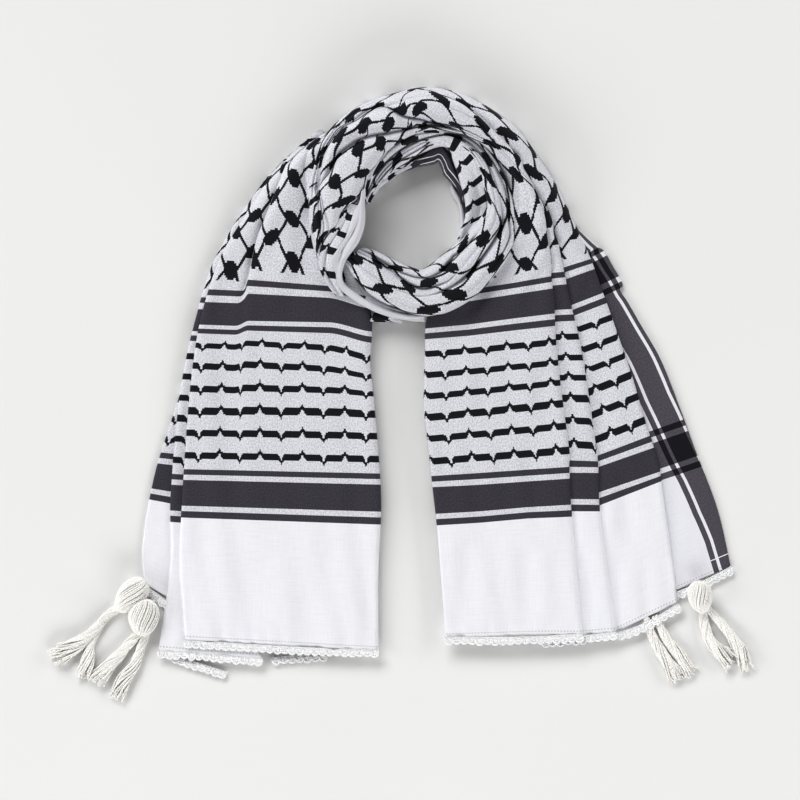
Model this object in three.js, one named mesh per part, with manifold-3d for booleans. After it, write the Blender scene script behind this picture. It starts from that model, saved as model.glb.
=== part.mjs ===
// Square cotton scarf with crocheted hems and corner tassels, wound once into a neck loop and laid flat.
//
// Millimetres. +Z is up, +Y runs from the hems to the neck loop, and the table is the plane z = 0.
// The cloth is one strip of folds. It runs from the left hem up to the left shoulder, under the loop's left
// side, round the inside of the loop, across the front, up the left side, over the back and down to the right
// hem. Each stretch that shows is a wall, and the folds that it hides are one rounded solid inside it.
import * as THREE from 'three';
import Module from 'manifold-3d';
import { mergeVertices } from 'three/addons/utils/BufferGeometryUtils.js';

const wasm = await Module();
wasm.setup();

// ---- Driving dimensions ----------------------------------------------------------------------------------

const GAP = 0.3; // clear space between pieces that lie on each other
const WALL = 2; // a wall of the soft cotton, two plies lying together
const LAYER = 2.3; // height that one folded layer takes in a tail, with its gap
const LIFT_AT_LOOP = 1.45; // how much fuller the folds of a tail are by the loop than at the hem
const LIFT_REACH = 270; // cloth length from the hem over which the folds fill out
const EDGE_ROUND = 1.6; // radius of a folded edge, seen in section
const EDGE_MIDDLE = 0.35; // where a folded edge's middle point lies, as a share of that radius
const EDGE_FACE = 0.25; // height of a folded edge's outermost face, as a share of the layer's
const TRIM_DROP = 6.5; // how far the crochet stands out from the hem
const SCALLOP = 5.5; // spacing of the crochet's scallops
const SCALLOP_DIP = 0.82; // reach of the dips between scallops, as a share of the scallops'
const ARCH = 0.7; // squareness of a loop section: 1 is an ellipse, less is fuller

const COTTON = { color: 0xe8e8ee, roughness: 0.92, metalness: 0 };
const HIDDEN_COTTON = { color: 0xd6d6dc, roughness: 0.95, metalness: 0 };
const CROCHET = { color: 0xf7f7f9, roughness: 0.95, metalness: 0 };
const TASSEL_YARN = { color: 0xe8e5de, roughness: 0.9, metalness: 0 };

// ---- Tables ----------------------------------------------------------------------------------------------
// A row is one cross line of the cloth: `cloth` is its distance from the stretch's first line, measured along
// the cloth, and (ax, ay) and (bx, by) are the ends of the line on the stretch's two edges.

const row = (cloth, ax, ay, bx, by, top = 0) => ({ cloth, ax, ay, bx, by, top });

// Left tail. cloth is the distance from the hem; a is the left edge and b the right one.
const LEFT_FRONT = [
  row(0, -163, -184, -18, -192), row(60, -167, -124, -18, -132), row(109, -165, -75, -16, -79),
  row(179, -160, -5, -21, -8), row(215, -156, 31, -24, 28), row(251, -151, 59, -23, 62),
  row(290, -140, 99, -30, 94), row(330, -125, 128, -43, 123), row(368, -105, 158, -51, 148),
];
const LEFT_SECOND = [
  row(0, -183, -192, -105, -198), row(60, -174, -127, -126, -132), row(109, -174, -79, -125, -82),
  row(179, -168, -8, -122, -10), row(215, -162, 28, -117, 26), row(251, -155, 57, -114, 56),
  row(290, -144, 94, -105, 92), row(330, -127, 126, -84, 119), row(368, -108, 154, -69, 146),
];
const LEFT_BACK = [
  row(20, -194, -142, -112, -190), row(50, -195, -113, -114, -140), row(109, -186, -61, -117, -70),
  row(150, -174, -22, -116, -27), row(190, -163, 12, -114, 8), row(251, -150, 57, -108, 55),
  row(330, -122, 126, -80, 119), row(366, -103, 152, -66, 145),
];

// Right tail, in the same way. The three lower layers start under the front panel, well inside its edge.
const RIGHT_FRONT = [
  row(0, 32, -182, 135, -180), row(55, 27, -130, 129, -126), row(109, 24, -81, 126, -74),
  row(138, 20, -50, 124, -42), row(179, 16, -10, 123, -2), row(221, 17, 30, 120, 39),
  row(251, 19, 58, 116, 70), row(275, 28, 78, 112, 90), row(300, 47, 99, 110, 110),
  row(330, 71, 116, 108, 134),
];
const RIGHT_MIDDLE = [
  row(0, 104, -184, 160, -178), row(55, 103, -123, 153, -121), row(109, 102, -76, 147, -69),
  row(138, 100, -44, 145, -40), row(179, 99, -3, 141, -2), row(221, 96, 38, 135, 38),
  row(251, 92, 68, 126, 71), row(275, 88, 87, 122, 88), row(300, 87, 108, 118, 106),
  row(330, 90, 128, 114, 126),
];
const RIGHT_SIDE = [
  row(0, 110, -184, 207, -157), row(55, 107, -124, 202, -106), row(109, 105, -74, 190, -52),
  row(138, 104, -40, 186, -26), row(179, 102, -2, 176, 1), row(221, 99, 39, 163, 39),
  row(251, 95, 69, 150, 81), row(275, 92, 88, 141, 104), row(300, 90, 110, 132, 118),
  row(330, 92, 130, 123, 135),
];
const RIGHT_BORDER = [
  row(0, 112, -188, 246, -129), row(55, 110, -128, 236, -86), row(109, 108, -76, 218, -38),
  row(138, 106, -44, 207, -8), row(179, 104, -3, 193, 27), row(221, 101, 38, 172, 70),
  row(251, 97, 68, 157, 97), row(275, 94, 86, 146, 113), row(300, 92, 108, 138, 122),
  row(330, 94, 130, 127, 136),
];

// Neck loop. a is the outer edge, b the edge towards the neck opening, and top the height of the roll.
const LEFT_SHOULDER = [
  row(0, -117, 82, -54, 70, 11), row(20, -114, 94, -51, 89, 13), row(45, -108, 118, -48, 116, 15.5),
  row(70, -101, 140, -43, 136, 18), row(95, -92, 162, -39, 153, 20), row(117, -79, 186, -32, 168, 21),
  row(140, -59, 200, -23, 179, 20),
];
const OUTER_WRAP = [
  row(0, 135, 118, 75, 110, 15), row(18, 126, 135, 85, 130, 20), row(38, 117, 154, 81, 151, 25),
  row(60, 104, 175, 73, 169, 28), row(87, 84, 201, 59, 186, 30), row(115, 54, 221, 40, 195, 31),
  row(140, 24, 230, 23, 197, 32), row(166, -5, 226, 6, 192, 32), row(193, -36, 214, -9, 183, 32),
  row(218, -59, 192, -22, 168, 32), row(240, -69, 164, -28, 154, 31),
];
const LEFT_RISE = [
  row(240.3, -69, 163.7, -28, 153.7, 31), row(262, -70, 142, -30, 141, 31), row(278, -69, 122, -31, 129, 29),
  row(300, -63, 99, -38, 108, 25), row(316, -56, 83, -42, 89, 20), row(328, -49, 75, -45, 78, 16),
];
const FRONT_BAND = [
  row(0, -48, 82, -27, 116, 18), row(19, -33, 67, -17, 104, 23), row(41, -8, 56, 0, 98, 25),
  row(62, 17, 56, 17, 94, 26), row(83, 45, 65, 29, 99, 27), row(109, 72, 88, 39, 112, 28),
  row(130, 83, 113, 44, 128, 29),
];
const INNER_WRAP = [
  row(130.3, 83, 113.3, 44, 128.3, 29), row(148, 84, 136, 52, 140, 29), row(168, 78, 162, 53, 158, 29),
  row(190, 59, 186, 43, 174, 29), row(207, 40, 196, 28, 182, 28), row(224, 21, 197, 12, 180, 27),
  row(240, 2, 190, 0, 174, 26), row(256, -13, 181, -14, 160, 24), row(277, -27, 160, -25, 143, 22),
  row(294, -36, 142, -27, 129, 20),
];
const INNER_EDGE = [
  row(0, 1, 183, 0, 169, 20), row(20, 17, 185, 13, 171, 21), row(40, 33, 183, 29, 169, 22),
  row(60, 48, 172, 37, 159, 22), row(80, 56, 155, 42, 144, 21), row(100, 57, 136, 43, 132, 19),
  row(115, 49, 122, 40, 122, 15),
];
const SELVAGE_TWIST = [
  row(0, -36, 147, -28, 146, 30), row(20, -41, 129, -26, 127, 31), row(40, -48, 108, -29, 111, 30),
  row(55, -54, 96, -36, 97, 28), row(68, -53, 85, -41, 88, 26), row(85, -43, 73, -36, 80, 25),
  row(110, -26, 62, -20, 71, 25), row(138, -3, 54, -2, 63, 23), row(156, 15, 53, 16, 59, 20),
];

// Tassels. A strand row is a point of the strand with its width; a ball has a place, a size and a turn.
const strandRow = (x, y, width) => ({ x, y, width });
const STRAND_HEIGHT = 0.62; // of its width: a strand lies slack and flat
const STRAND_EDGE = 0.6; // least height of a strand at its sides
const STRAND_TURNS = 4; // faces round a strand's arch
const BALL_SETTLE = 0.4; // how far a ball's round settles into its flat underside
const BALL_FACES = [12, 8]; // faces of a ball round it and along it
const TASSELS = [
  {
    name: 'left_back_tassel',
    ball: { x: -203, y: -151, length: 31, width: 20, height: 15, turn: 48 },
    strands: [
      [strandRow(-208, -157, 8), strandRow(-222, -167, 7), strandRow(-230, -176, 8),
        strandRow(-243, -187, 12), strandRow(-264, -198, 20)],
      [strandRow(-233.5, -188.5, 5), strandRow(-235, -196, 10), strandRow(-239, -214, 15)],
    ],
  },
  {
    name: 'left_front_tassel',
    ball: { x: -194, y: -167, length: 28, width: 23, height: 16, turn: 88 },
    strands: [
      [strandRow(-195, -176, 7), strandRow(-211, -194, 9), strandRow(-222, -206, 12),
        strandRow(-231, -218, 16)],
      [strandRow(-191, -177, 6), strandRow(-201, -203, 9), strandRow(-209.5, -215, 12),
        strandRow(-216, -229, 13)],
    ],
  },
  {
    name: 'right_border_tassel',
    ball: { x: 223, y: -152, length: 24, width: 18, height: 13, turn: 100 },
    strands: [
      [strandRow(224, -158, 7), strandRow(229, -182, 9), strandRow(237, -192, 13),
        strandRow(249, -202, 17)],
      [strandRow(227.5, -159, 6), strandRow(243, -177, 8), strandRow(253, -192, 12), strandRow(259, -208, 14)],
    ],
  },
  {
    name: 'right_side_tassel',
    strands: [
      [strandRow(181.5, -168, 7), strandRow(190, -187, 8), strandRow(199, -201, 11),
        strandRow(208, -216, 14)],
      [strandRow(189, -166, 6), strandRow(199, -185, 8), strandRow(209, -198, 10), strandRow(219, -211, 12)],
    ],
  },
];

// ---- Sections carried along a table ----------------------------------------------------------------------

// The row at any cloth distance: each column follows a cubic through the table's rows.
function rowAt(rows, cloth) {
  let i = rows.findIndex((r) => r.cloth > cloth) - 1;
  if (i < 0) i = cloth < rows[0].cloth ? 0 : rows.length - 2;
  const [r0, r1] = [rows[i], rows[i + 1]];
  const span = r1.cloth - r0.cloth;
  const slope = (k, column) => {
    const [before, after] = [rows[Math.max(k - 1, 0)], rows[Math.min(k + 1, rows.length - 1)]];
    return (after[column] - before[column]) / (after.cloth - before.cloth);
  };
  const t = (cloth - r0.cloth) / span;
  const outside = t < 0 || t > 1;
  const found = {};
  for (const column of Object.keys(r0)) {
    const [p0, p1] = [r0[column], r1[column]];
    const [m0, m1] = [slope(i, column) * span, slope(i + 1, column) * span];
    const cubic = (2 * t ** 3 - 3 * t ** 2 + 1) * p0 + (t ** 3 - 2 * t ** 2 + t) * m0
      + (3 * t ** 2 - 2 * t ** 3) * p1 + (t ** 3 - t ** 2) * m1;
    found[column] = outside ? (t < 0 ? p0 + t * m0 : p1 + (t - 1) * m1) : cubic;
  }
  return found;
}

// Sections at even cloth distances. `section` gives a row's profile as points [across, height] of its upper
// and lower line, and each profile stands on the row's own cross line. `grow` lengthens the stretch.
function carry(rows, count, section, grow = 0) {
  const [first, last] = [rows[0].cloth - grow, rows[rows.length - 1].cloth + grow];
  return Array.from({ length: count + 1 }, (_, i) => {
    const r = rowAt(rows, first + ((last - first) * i) / count);
    const across = new THREE.Vector3(r.bx - r.ax, r.by - r.ay, 0);
    const width = across.length();
    across.normalize();
    const place = ([x, z]) => new THREE.Vector3(r.ax, r.ay, z).addScaledVector(across, x);
    const { upper, lower } = section(width, r);
    return { upper: upper.map(place), lower: lower.map(place) };
  });
}

// A closed solid through sections whose upper and lower lines have the same number of points.
function solidThrough(sections) {
  const n = sections[0].upper.length;
  const positions = sections.flatMap((s) => [...s.upper, ...s.lower.slice().reverse()]);
  const ring = 2 * n;
  const faces = [];
  const quad = (a, b, c, d) => faces.push(a, b, c, a, c, d);
  for (let i = 0; i + 1 < sections.length; i++) {
    for (let k = 0; k < ring; k++) {
      const next = (k + 1) % ring;
      quad(i * ring + k, i * ring + next, (i + 1) * ring + next, (i + 1) * ring + k);
    }
  }
  const end = (sections.length - 1) * ring;
  for (let k = 0; k + 1 < n; k++) {
    quad(k, ring - 1 - k, ring - 2 - k, k + 1);
    quad(end + k, end + k + 1, end + ring - 2 - k, end + ring - 1 - k);
  }
  const vertProperties = new Float32Array(positions.flatMap((p) => [p.x, p.y, p.z]));
  const solid = (triVerts) => new wasm.Manifold(new wasm.Mesh({ numProp: 3, vertProperties, triVerts }));
  const made = solid(new Uint32Array(faces));
  return made.volume() > 0 ? made : solid(new Uint32Array(faces).reverse()); // faces point outwards
}

// ---- Flat folds of the tails -----------------------------------------------------------------------------

const FOLD_STEPS = 9; // sections along a tail layer

// How full the folds are at a distance from the hem: 1 at the hem, LIFT_AT_LOOP by the loop.
const liftAt = (cloth) => 1 + (LIFT_AT_LOOP - 1) * THREE.MathUtils.smoothstep(cloth, 0, LIFT_REACH);

// A folded layer with round edges. `level` counts the layers under it and `layers` those it takes up itself;
// a face panel keeps the wall's thickness, with soft waves along it.
function fold(rows, { level, layers = 1, face = false, waves = 0, swell = 0, grow = 0 }) {
  const across = waves ? 3 * waves : 3;
  const section = (width, r) => {
    const lift = liftAt(r.cloth);
    const base = level * LAYER * lift;
    const thick = face ? WALL : (layers * LAYER - GAP) * lift;
    const round = Math.min(EDGE_ROUND + (layers - 1) * EDGE_ROUND, width / 3);
    const line = [0, EDGE_MIDDLE * round, round];
    for (let i = 1; i < across; i++) line.push(round + ((width - 2 * round) * i) / across);
    line.push(width - round, width - 0.35 * round, width);
    const half = (x) => {
      const inset = Math.min(x, width - x, round);
      return (thick / 2) * Math.max(Math.sqrt(1 - (1 - inset / round) ** 2), EDGE_FACE) + grow;
    };
    const wave = (x) => swell * liftAt(r.cloth) * (1 - Math.cos((2 * Math.PI * waves * x) / width)) * 0.5;
    const out = (x) => x + (x < width / 2 ? -grow : grow);
    return {
      upper: line.map((x) => [out(x), base + thick / 2 + wave(x) + half(x)]),
      lower: line.map((x) => [out(x), base + thick / 2 + (face ? wave(x) : 0) - half(x)]),
    };
  };
  return solidThrough(carry(rows, FOLD_STEPS, section, grow));
}

// The solid of hidden folds between two edges set in from a panel's own edges.
const between = (rows, fromLeft, fromRight, last = rows.length) => rows.slice(0, last).map((r) => {
  const width = Math.hypot(r.bx - r.ax, r.by - r.ay);
  const at = (x) => [r.ax + ((r.bx - r.ax) * x) / width, r.ay + ((r.by - r.ay) * x) / width];
  return row(r.cloth, ...at(fromLeft), ...at(width - fromRight));
});

// ---- Rolls of the neck loop ------------------------------------------------------------------------------

// A roll's outer line in section: an arch from the table up over `top` and down again, with `ridges` soft
// folds along it, moved inwards by `inset`.
function archLine(width, top, ridges, depth, inset, count) {
  const power = (x) => Math.sign(x) * Math.abs(x) ** ARCH;
  const line = Array.from({ length: count + 1 }, (_, i) => {
    const turn = (Math.PI * i) / count;
    const fold = depth * Math.sin(turn) ** 2 * (0.5 - 0.5 * Math.cos(2 * ridges * turn));
    return new THREE.Vector2((width / 2) * (1 - power(Math.cos(turn))), top * power(Math.sin(turn)) - fold);
  });
  return line.map((p, i) => {
    const along = line[Math.min(i + 1, count)].clone().sub(line[Math.max(i - 1, 0)]).normalize();
    const atFoot = i === 0 || i === count;
    const inwards = atFoot ? new THREE.Vector2(i === 0 ? 1 : -1, 0) : new THREE.Vector2(along.y, -along.x);
    const moved = p.clone().addScaledVector(inwards, inset);
    return [moved.x, Math.max(moved.y, 0)];
  });
}

const ROLL_POINTS = 14; // points round a wall
const FILL_POINTS = 8; // points round what fills a roll
const FOOT = 1; // height of the side of a solid that fills a roll
const BELOW = 1; // how far a clearing solid reaches below the table

// A roll as four solids: its wall, the hidden folds inside the wall's lowest troughs, the roll as one solid,
// and the space that it needs, for cutting what lies against it.
function roll(rows, ridges, depth) {
  const steps = rows.length;
  const wall = (width, r) => ({
    upper: archLine(width, r.top, ridges, depth, 0, ROLL_POINTS),
    lower: archLine(width, r.top, ridges, depth, WALL, ROLL_POINTS),
  });
  const filled = ({ fall = 0, inset = 0, floor = 0, points = ROLL_POINTS }) => (width, r) => {
    const arch = archLine(width, r.top - fall, 0, 0, inset, points);
    const upper = arch.map(([x, z]) => [x, Math.max(z, FOOT)]);
    return { upper, lower: upper.map(([x]) => [x, floor]) };
  };
  const folds = { fall: depth, inset: WALL + GAP, points: FILL_POINTS };
  return {
    wall: solidThrough(carry(rows, steps, wall)),
    inside: solidThrough(carry(rows, steps, filled(folds), -GAP)),
    whole: solidThrough(carry(rows, steps, filled({ points: FILL_POINTS }))),
    clearing: solidThrough(carry(rows, steps, filled({ inset: -GAP, floor: -BELOW }), GAP)),
  };
}

// A soft lens of twisted cloth that lies on the rolls: arched above and dished below.
const TWIST_THICK = 7;
function twist(rows, grow = 0) {
  const across = [0, 0.15, 0.5, 0.85, 1];
  const section = (width, r) => {
    const half = (t) => TWIST_THICK / 2 * Math.max(Math.sqrt(1 - (2 * t - 1) ** 2), EDGE_FACE) + grow;
    const out = (t) => t * width + (t < 0.5 ? -grow : grow);
    return {
      upper: across.map((t) => [out(t), r.top - TWIST_THICK / 2 + half(t)]),
      lower: across.map((t) => [out(t), r.top - TWIST_THICK / 2 - half(t)]),
    };
  };
  return solidThrough(carry(rows, rows.length, section, grow));
}

// ---- Crochet trim and tassels ----------------------------------------------------------------------------

// A scalloped strip along a hem, between two points of it, at the height of a tail layer.
function trim({ from: start, to: stop, level, drop = TRIM_DROP }, grow = 0) {
  const [from, to] = [new THREE.Vector2(...start), new THREE.Vector2(...stop)];
  const [low, high] = [level * LAYER - grow, (level + 1) * LAYER - GAP + grow];
  const length = from.distanceTo(to);
  const along = to.clone().sub(from).normalize();
  const down = new THREE.Vector2(along.y, -along.x);
  const steps = 2 * Math.round(length / SCALLOP);
  return solidThrough(Array.from({ length: steps + 1 }, (_, i) => {
    const reach = drop * (i % 2 ? 1 : SCALLOP_DIP) + grow;
    const at = from.clone().addScaledVector(along, (length * i) / steps);
    const point = (d, z) => new THREE.Vector3(at.x + down.x * d, at.y + down.y * d, z);
    return {
      upper: [point(GAP - grow, high), point(reach, high)],
      lower: [point(GAP - grow, low), point(reach, low)],
    };
  }));
}

// A wound ball head: an ellipsoid that lies on the table on a small flat.
function ball({ x, y, length, width, height, turn }, grow = 0) {
  const shape = new THREE.SphereGeometry(0.5, ...BALL_FACES).rotateX(Math.PI / 2);
  shape.scale(length + 2 * grow, width + 2 * grow, height + 2 * grow);
  shape.rotateZ(THREE.MathUtils.degToRad(turn)).translate(x, y, height / 2 - BALL_SETTLE);
  shape.deleteAttribute('normal').deleteAttribute('uv');
  const merged = mergeVertices(shape);
  const solid = new wasm.Manifold(new wasm.Mesh({
    numProp: 3,
    vertProperties: merged.attributes.position.array,
    triVerts: new Uint32Array(merged.index.array),
  }));
  return solid.trimByPlane([0, 0, 1], grow ? -BELOW : 0);
}

// A slack strand: an arched section carried along its points.
function strand(points, grow = 0) {
  const spine = new THREE.CatmullRomCurve3(points.map((p) => new THREE.Vector3(p.x, p.y, p.width)));
  const steps = 3 * (points.length - 1);
  const sections = Array.from({ length: steps + 1 }, (_, i) => {
    const at = spine.getPoint(i / steps);
    const along = spine.getTangent(i / steps).setZ(0).normalize();
    const side = new THREE.Vector3(-along.y, along.x, 0);
    const half = at.z / 2 + grow;
    const line = Array.from({ length: STRAND_TURNS + 1 }, (_, k) => {
      const a = (Math.PI * k) / STRAND_TURNS;
      return [half * Math.cos(a), Math.max(at.z * STRAND_HEIGHT * Math.sin(a), STRAND_EDGE) + grow];
    });
    const place = ([s, z]) => new THREE.Vector3(at.x, at.y, z).addScaledVector(side, s);
    return { upper: line.map(place), lower: line.map(([s]) => place([s, grow ? -BELOW : 0])) };
  });
  return solidThrough(sections);
}

// ---- The pieces ------------------------------------------------------------------------------------------

const part = new THREE.Group();
const LEAST_FEATURE = 0.01; // edges shorter than this are closed up after a cut

// Adds a solid as a named mesh. Where a cut leaves loose scraps, only the main body is the piece.
function add(name, solid, look) {
  const bodies = solid.simplify(LEAST_FEATURE).decompose();
  const main = bodies.reduce((a, b) => (b.volume() > a.volume() ? b : a));
  const { vertProperties, triVerts } = main.getMesh();
  const geometry = new THREE.BufferGeometry();
  geometry.setAttribute('position', new THREE.BufferAttribute(vertProperties, 3));
  geometry.setIndex(new THREE.BufferAttribute(triVerts, 1));
  const mesh = new THREE.Mesh(geometry, new THREE.MeshStandardMaterial(look));
  mesh.name = name;
  part.add(mesh);
}

const union = (solids) => wasm.Manifold.union(solids);

// Tails: each layer is made twice, once as it is and once grown by the gap, to clear what lies on it.
// The hidden folds stand in from a front panel's edges, by more on the side that other folds already back,
// and end with the last row below the loop.
const LEFT_INNER = between(LEFT_FRONT, 62, 6, 7);
const INNER_HEM_DROP = 9; // how much lower than the front panel's the inner folds' hems hang
LEFT_INNER[0].ay -= INNER_HEM_DROP;
const RIGHT_INNER = between(RIGHT_FRONT, 6, 36, 8);
const FOLDS = [
  ['left_tail_back_fold', LEFT_BACK, { level: 0 }],
  ['left_tail_second_fold', LEFT_SECOND, { level: 1 }],
  ['left_tail_inner_folds', LEFT_INNER, { level: 0, layers: 2 }, HIDDEN_COTTON],
  ['left_tail_front_panel', LEFT_FRONT, { level: 2, face: true, waves: 3, swell: 1 }],
  ['right_tail_border_layer', RIGHT_BORDER, { level: 0 }],
  ['right_tail_side_pleat', RIGHT_SIDE, { level: 1 }],
  ['right_tail_middle_pleat', RIGHT_MIDDLE, { level: 2 }],
  ['right_tail_inner_folds', RIGHT_INNER, { level: 0, layers: 3 }, HIDDEN_COTTON],
  ['right_tail_front_panel', RIGHT_FRONT, { level: 3, face: true, waves: 3, swell: 1 }],
];
for (const [name, rows, shape, look = COTTON] of FOLDS) add(name, fold(rows, shape), look);
const tails = union(FOLDS.map(([, rows, shape]) => fold(rows, { ...shape, grow: GAP })));

// Neck loop, from what lies lowest to what lies on top.
const shoulder = roll(LEFT_SHOULDER, 2, 1.5);
const outer = roll(OUTER_WRAP, 3, 3);
const rise = roll(LEFT_RISE, 3, 3);
const band = roll(FRONT_BAND, 3, 3);
const inner = roll(INNER_WRAP, 3, 3);
const edge = roll(INNER_EDGE, 1, 1);
const twistClearing = twist(SELVAGE_TWIST, GAP);

const underLoop = union([tails, shoulder.clearing, twistClearing]);
const underRings = union([underLoop, outer.clearing, rise.clearing]);
const underEdge = union([underRings, inner.clearing, band.clearing]);
add('left_shoulder', shoulder.whole.subtract(tails), COTTON);
add('neck_outer_wrap', outer.wall.subtract(underLoop), COTTON);
add('neck_outer_inner_folds', outer.inside.subtract(underLoop), HIDDEN_COTTON);
add('neck_left_rise', rise.wall.subtract(underLoop), COTTON);
add('neck_left_inner_folds', rise.inside.subtract(underLoop), HIDDEN_COTTON);
add('neck_front_band', band.wall.subtract(underRings), COTTON);
add('neck_front_inner_folds', band.inside.subtract(underRings), HIDDEN_COTTON);
add('neck_inner_wrap', inner.wall.subtract(underRings), COTTON);
add('neck_back_inner_folds', inner.inside.subtract(underRings), HIDDEN_COTTON);
add('neck_inner_edge', edge.whole.subtract(underEdge), COTTON);
add('neck_selvage_twist', twist(SELVAGE_TWIST), COTTON);

// Crochet along each hem that shows.
const hemOf = ([first]) => ({ from: [first.ax, first.ay], to: [first.bx, first.by] });
const TRIMS = {
  left_front_trim: { ...hemOf(LEFT_FRONT), level: 2 },
  left_second_trim: { ...hemOf(LEFT_SECOND), level: 1 },
  left_inner_trim: { from: [-98, -197.5], to: [-57, -193], level: 0, drop: 9 },
  left_corner_trim: { from: [-172, -195], to: [-132, -209], level: 0, drop: 9 },
  left_back_trim: { from: [-194, -142], to: [-148, -169], level: 0 },
  right_front_trim: { ...hemOf(RIGHT_FRONT), level: 3 },
  right_middle_trim: { ...hemOf(RIGHT_MIDDLE), level: 2 },
  right_side_trim: { ...hemOf(RIGHT_SIDE), level: 1 },
  right_border_trim: { ...hemOf(RIGHT_BORDER), level: 0 },
};
for (const [name, hem] of Object.entries(TRIMS)) add(name, trim(hem).subtract(tails), CROCHET);

// Tassels: each piece is cut clear of the cloth, the trim and the pieces before it.
let taken = union([tails, ...Object.values(TRIMS).map((hem) => trim(hem, GAP))]);
TASSELS.forEach(({ name, ball: head, strands }) => {
  const pieces = strands.map((points, i) => [`${name}_strand_${'ab'[i]}`, (grow) => strand(points, grow)]);
  if (head) pieces.unshift([`${name}_ball`, (grow) => ball(head, grow)]);
  for (const [pieceName, make] of pieces) {
    add(pieceName, make(0).subtract(taken), TASSEL_YARN);
    taken = taken.add(make(GAP));
  }
});

export default part;
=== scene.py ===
# %% [markdown]
# # A square scarf, wound once and laid flat
# The real object is one square of light cotton, 1.20 m a side, woven with stripe groups, leaf-edged
# bars and a net of ovals. Two hems carry a crocheted edging and the four corners carry tassels. It is
# wound round once into a neck loop, and its two ends lie below the loop as tails.
# The solids of the part give the frame: every piece below is laid over the solids it stands for.
# We load them first, and keep the box they fill.

# %% Load the frame
import math

import bpy
import numpy as np
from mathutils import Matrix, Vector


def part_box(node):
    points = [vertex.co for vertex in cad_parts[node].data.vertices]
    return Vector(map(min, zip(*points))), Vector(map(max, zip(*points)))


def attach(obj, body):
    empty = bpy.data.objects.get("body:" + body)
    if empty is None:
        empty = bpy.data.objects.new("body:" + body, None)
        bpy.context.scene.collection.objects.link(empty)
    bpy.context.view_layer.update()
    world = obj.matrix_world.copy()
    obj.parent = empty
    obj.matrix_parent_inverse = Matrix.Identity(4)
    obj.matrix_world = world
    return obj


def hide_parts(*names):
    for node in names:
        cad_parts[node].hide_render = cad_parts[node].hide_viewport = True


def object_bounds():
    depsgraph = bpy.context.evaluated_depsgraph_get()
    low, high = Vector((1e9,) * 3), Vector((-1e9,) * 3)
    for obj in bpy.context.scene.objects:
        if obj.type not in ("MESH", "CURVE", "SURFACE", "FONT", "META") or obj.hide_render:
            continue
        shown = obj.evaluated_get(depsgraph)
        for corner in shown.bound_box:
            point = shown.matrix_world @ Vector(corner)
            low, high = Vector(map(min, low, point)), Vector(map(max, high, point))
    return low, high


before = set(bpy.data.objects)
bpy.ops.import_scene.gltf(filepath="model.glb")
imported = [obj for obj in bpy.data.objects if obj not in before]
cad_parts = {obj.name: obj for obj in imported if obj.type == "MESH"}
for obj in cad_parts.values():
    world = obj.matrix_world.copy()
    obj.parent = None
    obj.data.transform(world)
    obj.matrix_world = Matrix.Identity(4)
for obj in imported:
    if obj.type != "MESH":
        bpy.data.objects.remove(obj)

MM = 0.001                                   # the tables below are in millimetres
solid_box = [[float(x) for x in corner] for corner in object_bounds()]
PLANNED_MIDDLE = np.array([-1.5, -1.05])     # middle of the part in the tables' own millimetres
middle = (np.array(solid_box[0]) + np.array(solid_box[1]))[:2] / 2 / MM
ANCHOR = middle - PLANNED_MIDDLE
print("solids fill", np.round(solid_box, 3).tolist(), "anchor", np.round(ANCHOR, 2))

# %% [markdown]
# ## Helpers for shapes
# Cloth that is laid down is easiest to describe as a strip: its two edges are drawn as tables of
# points along the cloth, and the fold lines run between them. A table needs a smooth curve through
# its rows, which is what `through` gives.


# %% Smooth tables
def through(rows, at):
    """Smooth curve through the rows of a table, whose first number is the way along.
    Between two rows it is the cubic whose end slopes are those of the neighbouring rows."""
    rows = np.asarray(rows, float)
    way, value = rows[:, 0], rows[:, 1:]
    slope = np.empty_like(value)
    slope[1:-1] = (value[2:] - value[:-2]) / (way[2:] - way[:-2])[:, None]
    slope[0] = (value[1] - value[0]) / (way[1] - way[0])
    slope[-1] = (value[-1] - value[-2]) / (way[-1] - way[-2])
    at = np.clip(np.asarray(at, float), way[0], way[-1])
    k = np.clip(np.searchsorted(way, at, side="right") - 1, 0, len(way) - 2)
    gap = (way[k + 1] - way[k])[:, None]
    t = (at[:, None] - way[k][:, None]) / gap
    return ((2 * t**3 - 3 * t**2 + 1) * value[k] + (t**3 - 2 * t**2 + t) * gap * slope[k]
            + (3 * t**2 - 2 * t**3) * value[k + 1] + (t**3 - t**2) * gap * slope[k + 1])


def amount(rows, at):
    """A plain number, or straight lines through (along, value) rows, at each place along."""
    if np.ndim(rows) == 0:
        return np.full(len(at), float(rows))
    rows = np.asarray(rows, float)
    return np.interp(at, rows[:, 0], rows[:, 1])


def rolled(distance, fall, radius):
    """Quarter of an ellipse: how far a rolled edge has fallen at a distance in from its rim.
    The fall is whole at the rim and nothing once the distance passes the radius."""
    t = np.clip(1 - distance / np.maximum(radius, 1e-3), 0, 1)
    return fall * (1 - np.sqrt(1 - t**2))


def ripple(across, along, seed, spread=(34.0, 150.0)):
    """Soft unevenness of limp cloth, about -1 to 1: five sine waves whose directions and phases
    come from the seed, long along the cloth and short across it."""
    rng = np.random.default_rng(seed)
    total = np.zeros_like(across)
    for _ in range(5):
        fx = rng.uniform(0.6, 1.7) / spread[0] * rng.choice([-1, 1])
        fy = rng.uniform(0.5, 1.6) / spread[1]
        total += np.sin(2 * np.pi * (across * fx + along * fy) + rng.uniform(0, 6.28))
    return total / 3.2


# %% [markdown]
# ## From arrays to a mesh
# `foreach_set` and `from_pydata` take whole arrays, so a piece is worked out in numpy and handed over
# once. Each piece carries its own UV map in millimetres of cloth: u runs across the weave, v runs
# from the hem. The pattern of the cloth reads that map, so it follows the folds.

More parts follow.
